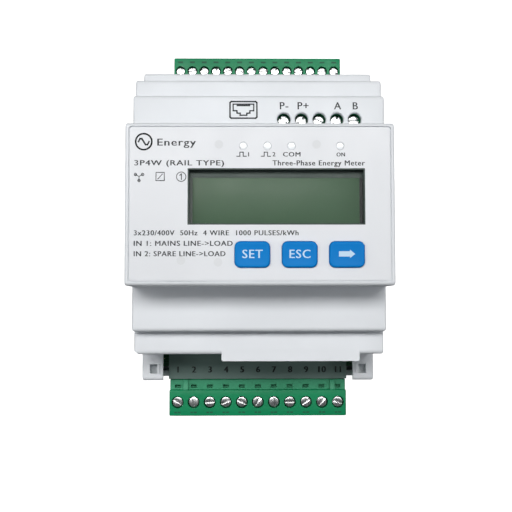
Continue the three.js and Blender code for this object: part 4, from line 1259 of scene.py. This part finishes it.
def makeSpring():
    s = spring
    deselectAll()
    bpy.ops.mesh.primitive_circle_add(vertices=10, radius=s["wire"] * mm, fill_type="NOTHING",
                                      location=(s["radius"] * mm, 0, s["wire"] * mm),
                                      rotation=(math.radians(90), 0, 0))
    coil = bpy.context.active_object
    coil.name = "clipSpring"
    settle(coil)
    long = (s["top"] - s["bottom"] - 2 * s["wire"]) * mm
    useModifier(coil, "SCREW", axis="Z", screw_offset=long / s["turns"],
                iterations=s["turns"], steps=24, render_steps=24, use_merge_vertices=True)
    # the wire's two cut ends are closed
    makeActive(coil)
    bpy.ops.object.mode_set(mode="EDIT")
    bpy.ops.mesh.select_all(action="SELECT")
    bpy.ops.mesh.fill_holes(sides=0)
    leaveEdit()
    coil.location = (0, -s["depth"] * mm, s["bottom"] * mm)
    return settle(coil)


finishPiece(makeClip(), "clip", "rail_clip", ["rail_clip"])
coil = finishPiece(makeSpring(), "spring", "housing", ["clip_spring"], 60)
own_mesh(coil)
print("rail clip and spring are done")

# parts on the main board: depths count from its front face
onBoard = 4.7
core = {"xs": (-26, 0), "zs": (-35, -9), "back": 4.6, "plates": 16, "plate": 0.94,
        "ragged": 0.12, "openXs": (-20.9, -5.1), "openZs": (-30.9, -13.1)}
bobbin = {"xs": (-20.8, -5.2), "zs": (-30.8, -13.2), "front": 29.7, "groove": (27.2, 28.4),
          "waist": 0.93, "footHalf": 1.6, "footXs": (-24, -2), "footZs": (-33, -11)}
can = {"x": 11, "z": -24, "radius": 6.5, "tall": 21, "crimp": (1.6, 2.2, 2.8), "waist": 0.93,
       "top": 5.2, "score": 0.15}
cell = {"x": 26, "z": -27, "radius": 6.2, "tall": 5.5, "rim": 0.9, "dish": 0.25}
chip = {"pitch": 1.0, "lead": 0.7, "leadHalf": 0.2, "leadTall": 0.3, "stand": 0.15}


def makeTransformer():
    # the laminated core: a stack of plates round the winding's opening, a hair apart
    c = core
    plates = []
    for layer in range(c["plates"]):
        depth = onBoard + c["back"] + layer
        inset = c["ragged"] * (layer % 2)
        plates.append(block("plate", (c["xs"][0] + inset, c["xs"][1] - inset),
                            (depth, depth + c["plate"]),
                            (c["zs"][0] + inset, c["zs"][1] - inset)))
    stack = joinAll(plates, "transformerCore")
    return carve(stack, [block("cutter", c["openXs"], (onBoard, 30), c["openZs"])])


def makeWinding():
    b = bobbin
    body = block("transformerBobbin", b["xs"], (onBoard, b["front"]), b["zs"])
    softenEdges(body, 0.6, 3)
    low, high = b["groove"]
    splitAt(body, 1, low, high)
    chooseParts(body, "FACE", lambda at, n: low < at.y < high and abs(n.y) < 0.5)
    middle = (sum(b["xs"]) / 2 * mm, -(low + high) / 2 * mm, sum(b["zs"]) / 2 * mm)
    bpy.ops.transform.resize(value=(b["waist"], 1, b["waist"]), center_override=middle)
    leaveEdit()
    half = b["footHalf"]
    feet = [block("foot", (x - half, x + half), (onBoard, onBoard + core["back"]),
                  (z - half, z + half)) for x in b["footXs"] for z in b["footZs"]]
    return joinAll([body] + feet, "transformerBobbin")


def makeCapacitor():
    c = can
    body = rod("reservoirCapacitor", c["x"], c["z"], c["radius"], onBoard, onBoard + c["tall"],
               48)
    roundEdges(body, 0.7, 4, lambda a, b, angle: min(a.y, b.y) > onBoard + c["tall"] - 1
               and angle > 60)
    low, crimp, high = (onBoard + step for step in c["crimp"])
    splitAt(body, 1, low, crimp, high)
    chooseParts(body, "VERT", lambda at: abs(at.y - crimp) < 0.05)
    bpy.ops.transform.resize(value=(c["waist"], 1, c["waist"]),
                             center_override=(c["x"] * mm, -crimp * mm, c["z"] * mm))
    leaveEdit()
    return body


def makeCanTop():
    # the bare end of the can, scored with a cross so that it can vent
    c = can
    top = onBoard + c["tall"]
    reach, half = c["radius"], c["score"]
    disc = rod("capacitorTop", c["x"], c["z"], c["top"], top - 0.1, top + 0.06, 40)
    return carve(disc, [block("cutter", (c["x"] - reach, c["x"] + reach), (top, top + 1),
                              (c["z"] - half, c["z"] + half)),
                        block("cutter", (c["x"] - half, c["x"] + half), (top, top + 1),
                              (c["z"] - reach, c["z"] + reach))])


def makeCell():
    c = cell
    body = rod("backupCell", c["x"], c["z"], c["radius"], onBoard, onBoard + c["tall"], 48)
    roundEdges(body, 0.5, 3, lambda a, b, angle: angle > 60)
    chooseParts(body, "FACE", lambda at, n: n.y < -0.99)
    bpy.ops.mesh.inset(thickness=c["rim"] * mm)
    bpy.ops.transform.translate(value=(0, c["dish"] * mm, 0))
    leaveEdit()
    return body


def makeChips(name, boardFront, spots):
    # small packages with rows of leads, on the front face of a board
    c = chip
    bodies, leads = [], []
    for x, z, wide, high, tall in spots:
        body = block("chip", (x - wide / 2, x + wide / 2),
                     (boardFront + c["stand"], boardFront + tall), (z - high / 2, z + high / 2))
        bodies.append(softenEdges(body, 0.12))
        count = max(2, int(high / c["pitch"]))
        for side in (-1, 1):
            edge = x + side * wide / 2
            for way in range(count):
                leadZ = z + (way - (count - 1) / 2) * c["pitch"]
                leads.append(block("lead", (edge - 0.05 * side, edge + c["lead"] * side),
                                   (boardFront + 0.02, boardFront + c["leadTall"]),
                                   (leadZ - c["leadHalf"], leadZ + c["leadHalf"])))
    return joinAll(bodies, name), joinAll(leads, name + "Leads")


finishPiece(makeTransformer(), "clamp", "housing", ["power_transformer"])
finishPiece(makeWinding(), "transformer", "housing")
finishPiece(makeCapacitor(), "sleeve", "housing", ["reservoir_capacitor"])
finishPiece(makeCanTop(), "shield", "housing")
finishPiece(makeCell(), "cell", "housing", ["backup_cell"], 30)
# each chip: x, z, width, height, thickness
mainChips, mainLeads = makeChips("mainChips", onBoard - 0.05, (
    (18, 4, 7, 7, 1.6), (5, 2, 4, 5, 1.5), (27, 12, 4, 6, 1.5), (-14, 8, 6, 5, 1.8),
    (-24, 20, 4, 5, 1.5), (22, -10, 5, 4, 1.4), (12, -8, 3, 4, 1.2)))
finishPiece(mainChips, "black", "housing")
finishPiece(mainLeads, "shield", "housing")
print("parts on the boards are done")

# what stays as the frame made it
innerPaints = {
    "backlight_block": ("diffuser", "white_diffuser"), "display_board": ("board", "board_laminate"),
    "set_switch": ("black", "switch_black"), "escape_switch": ("black", "switch_black"),
    "next_switch": ("black", "switch_black"), "main_board": ("board", "board_laminate"),
    "terminal_board": ("board", "board_laminate"), "board_link": ("ribbon", "ribbon_grey"),
}
for node, (paint, slot) in innerPaints.items():
    shown = frame["nodes"][node]
    shown.data.materials.clear()
    shown.data.materials.append(paints[paint])
print("inner parts are painted")
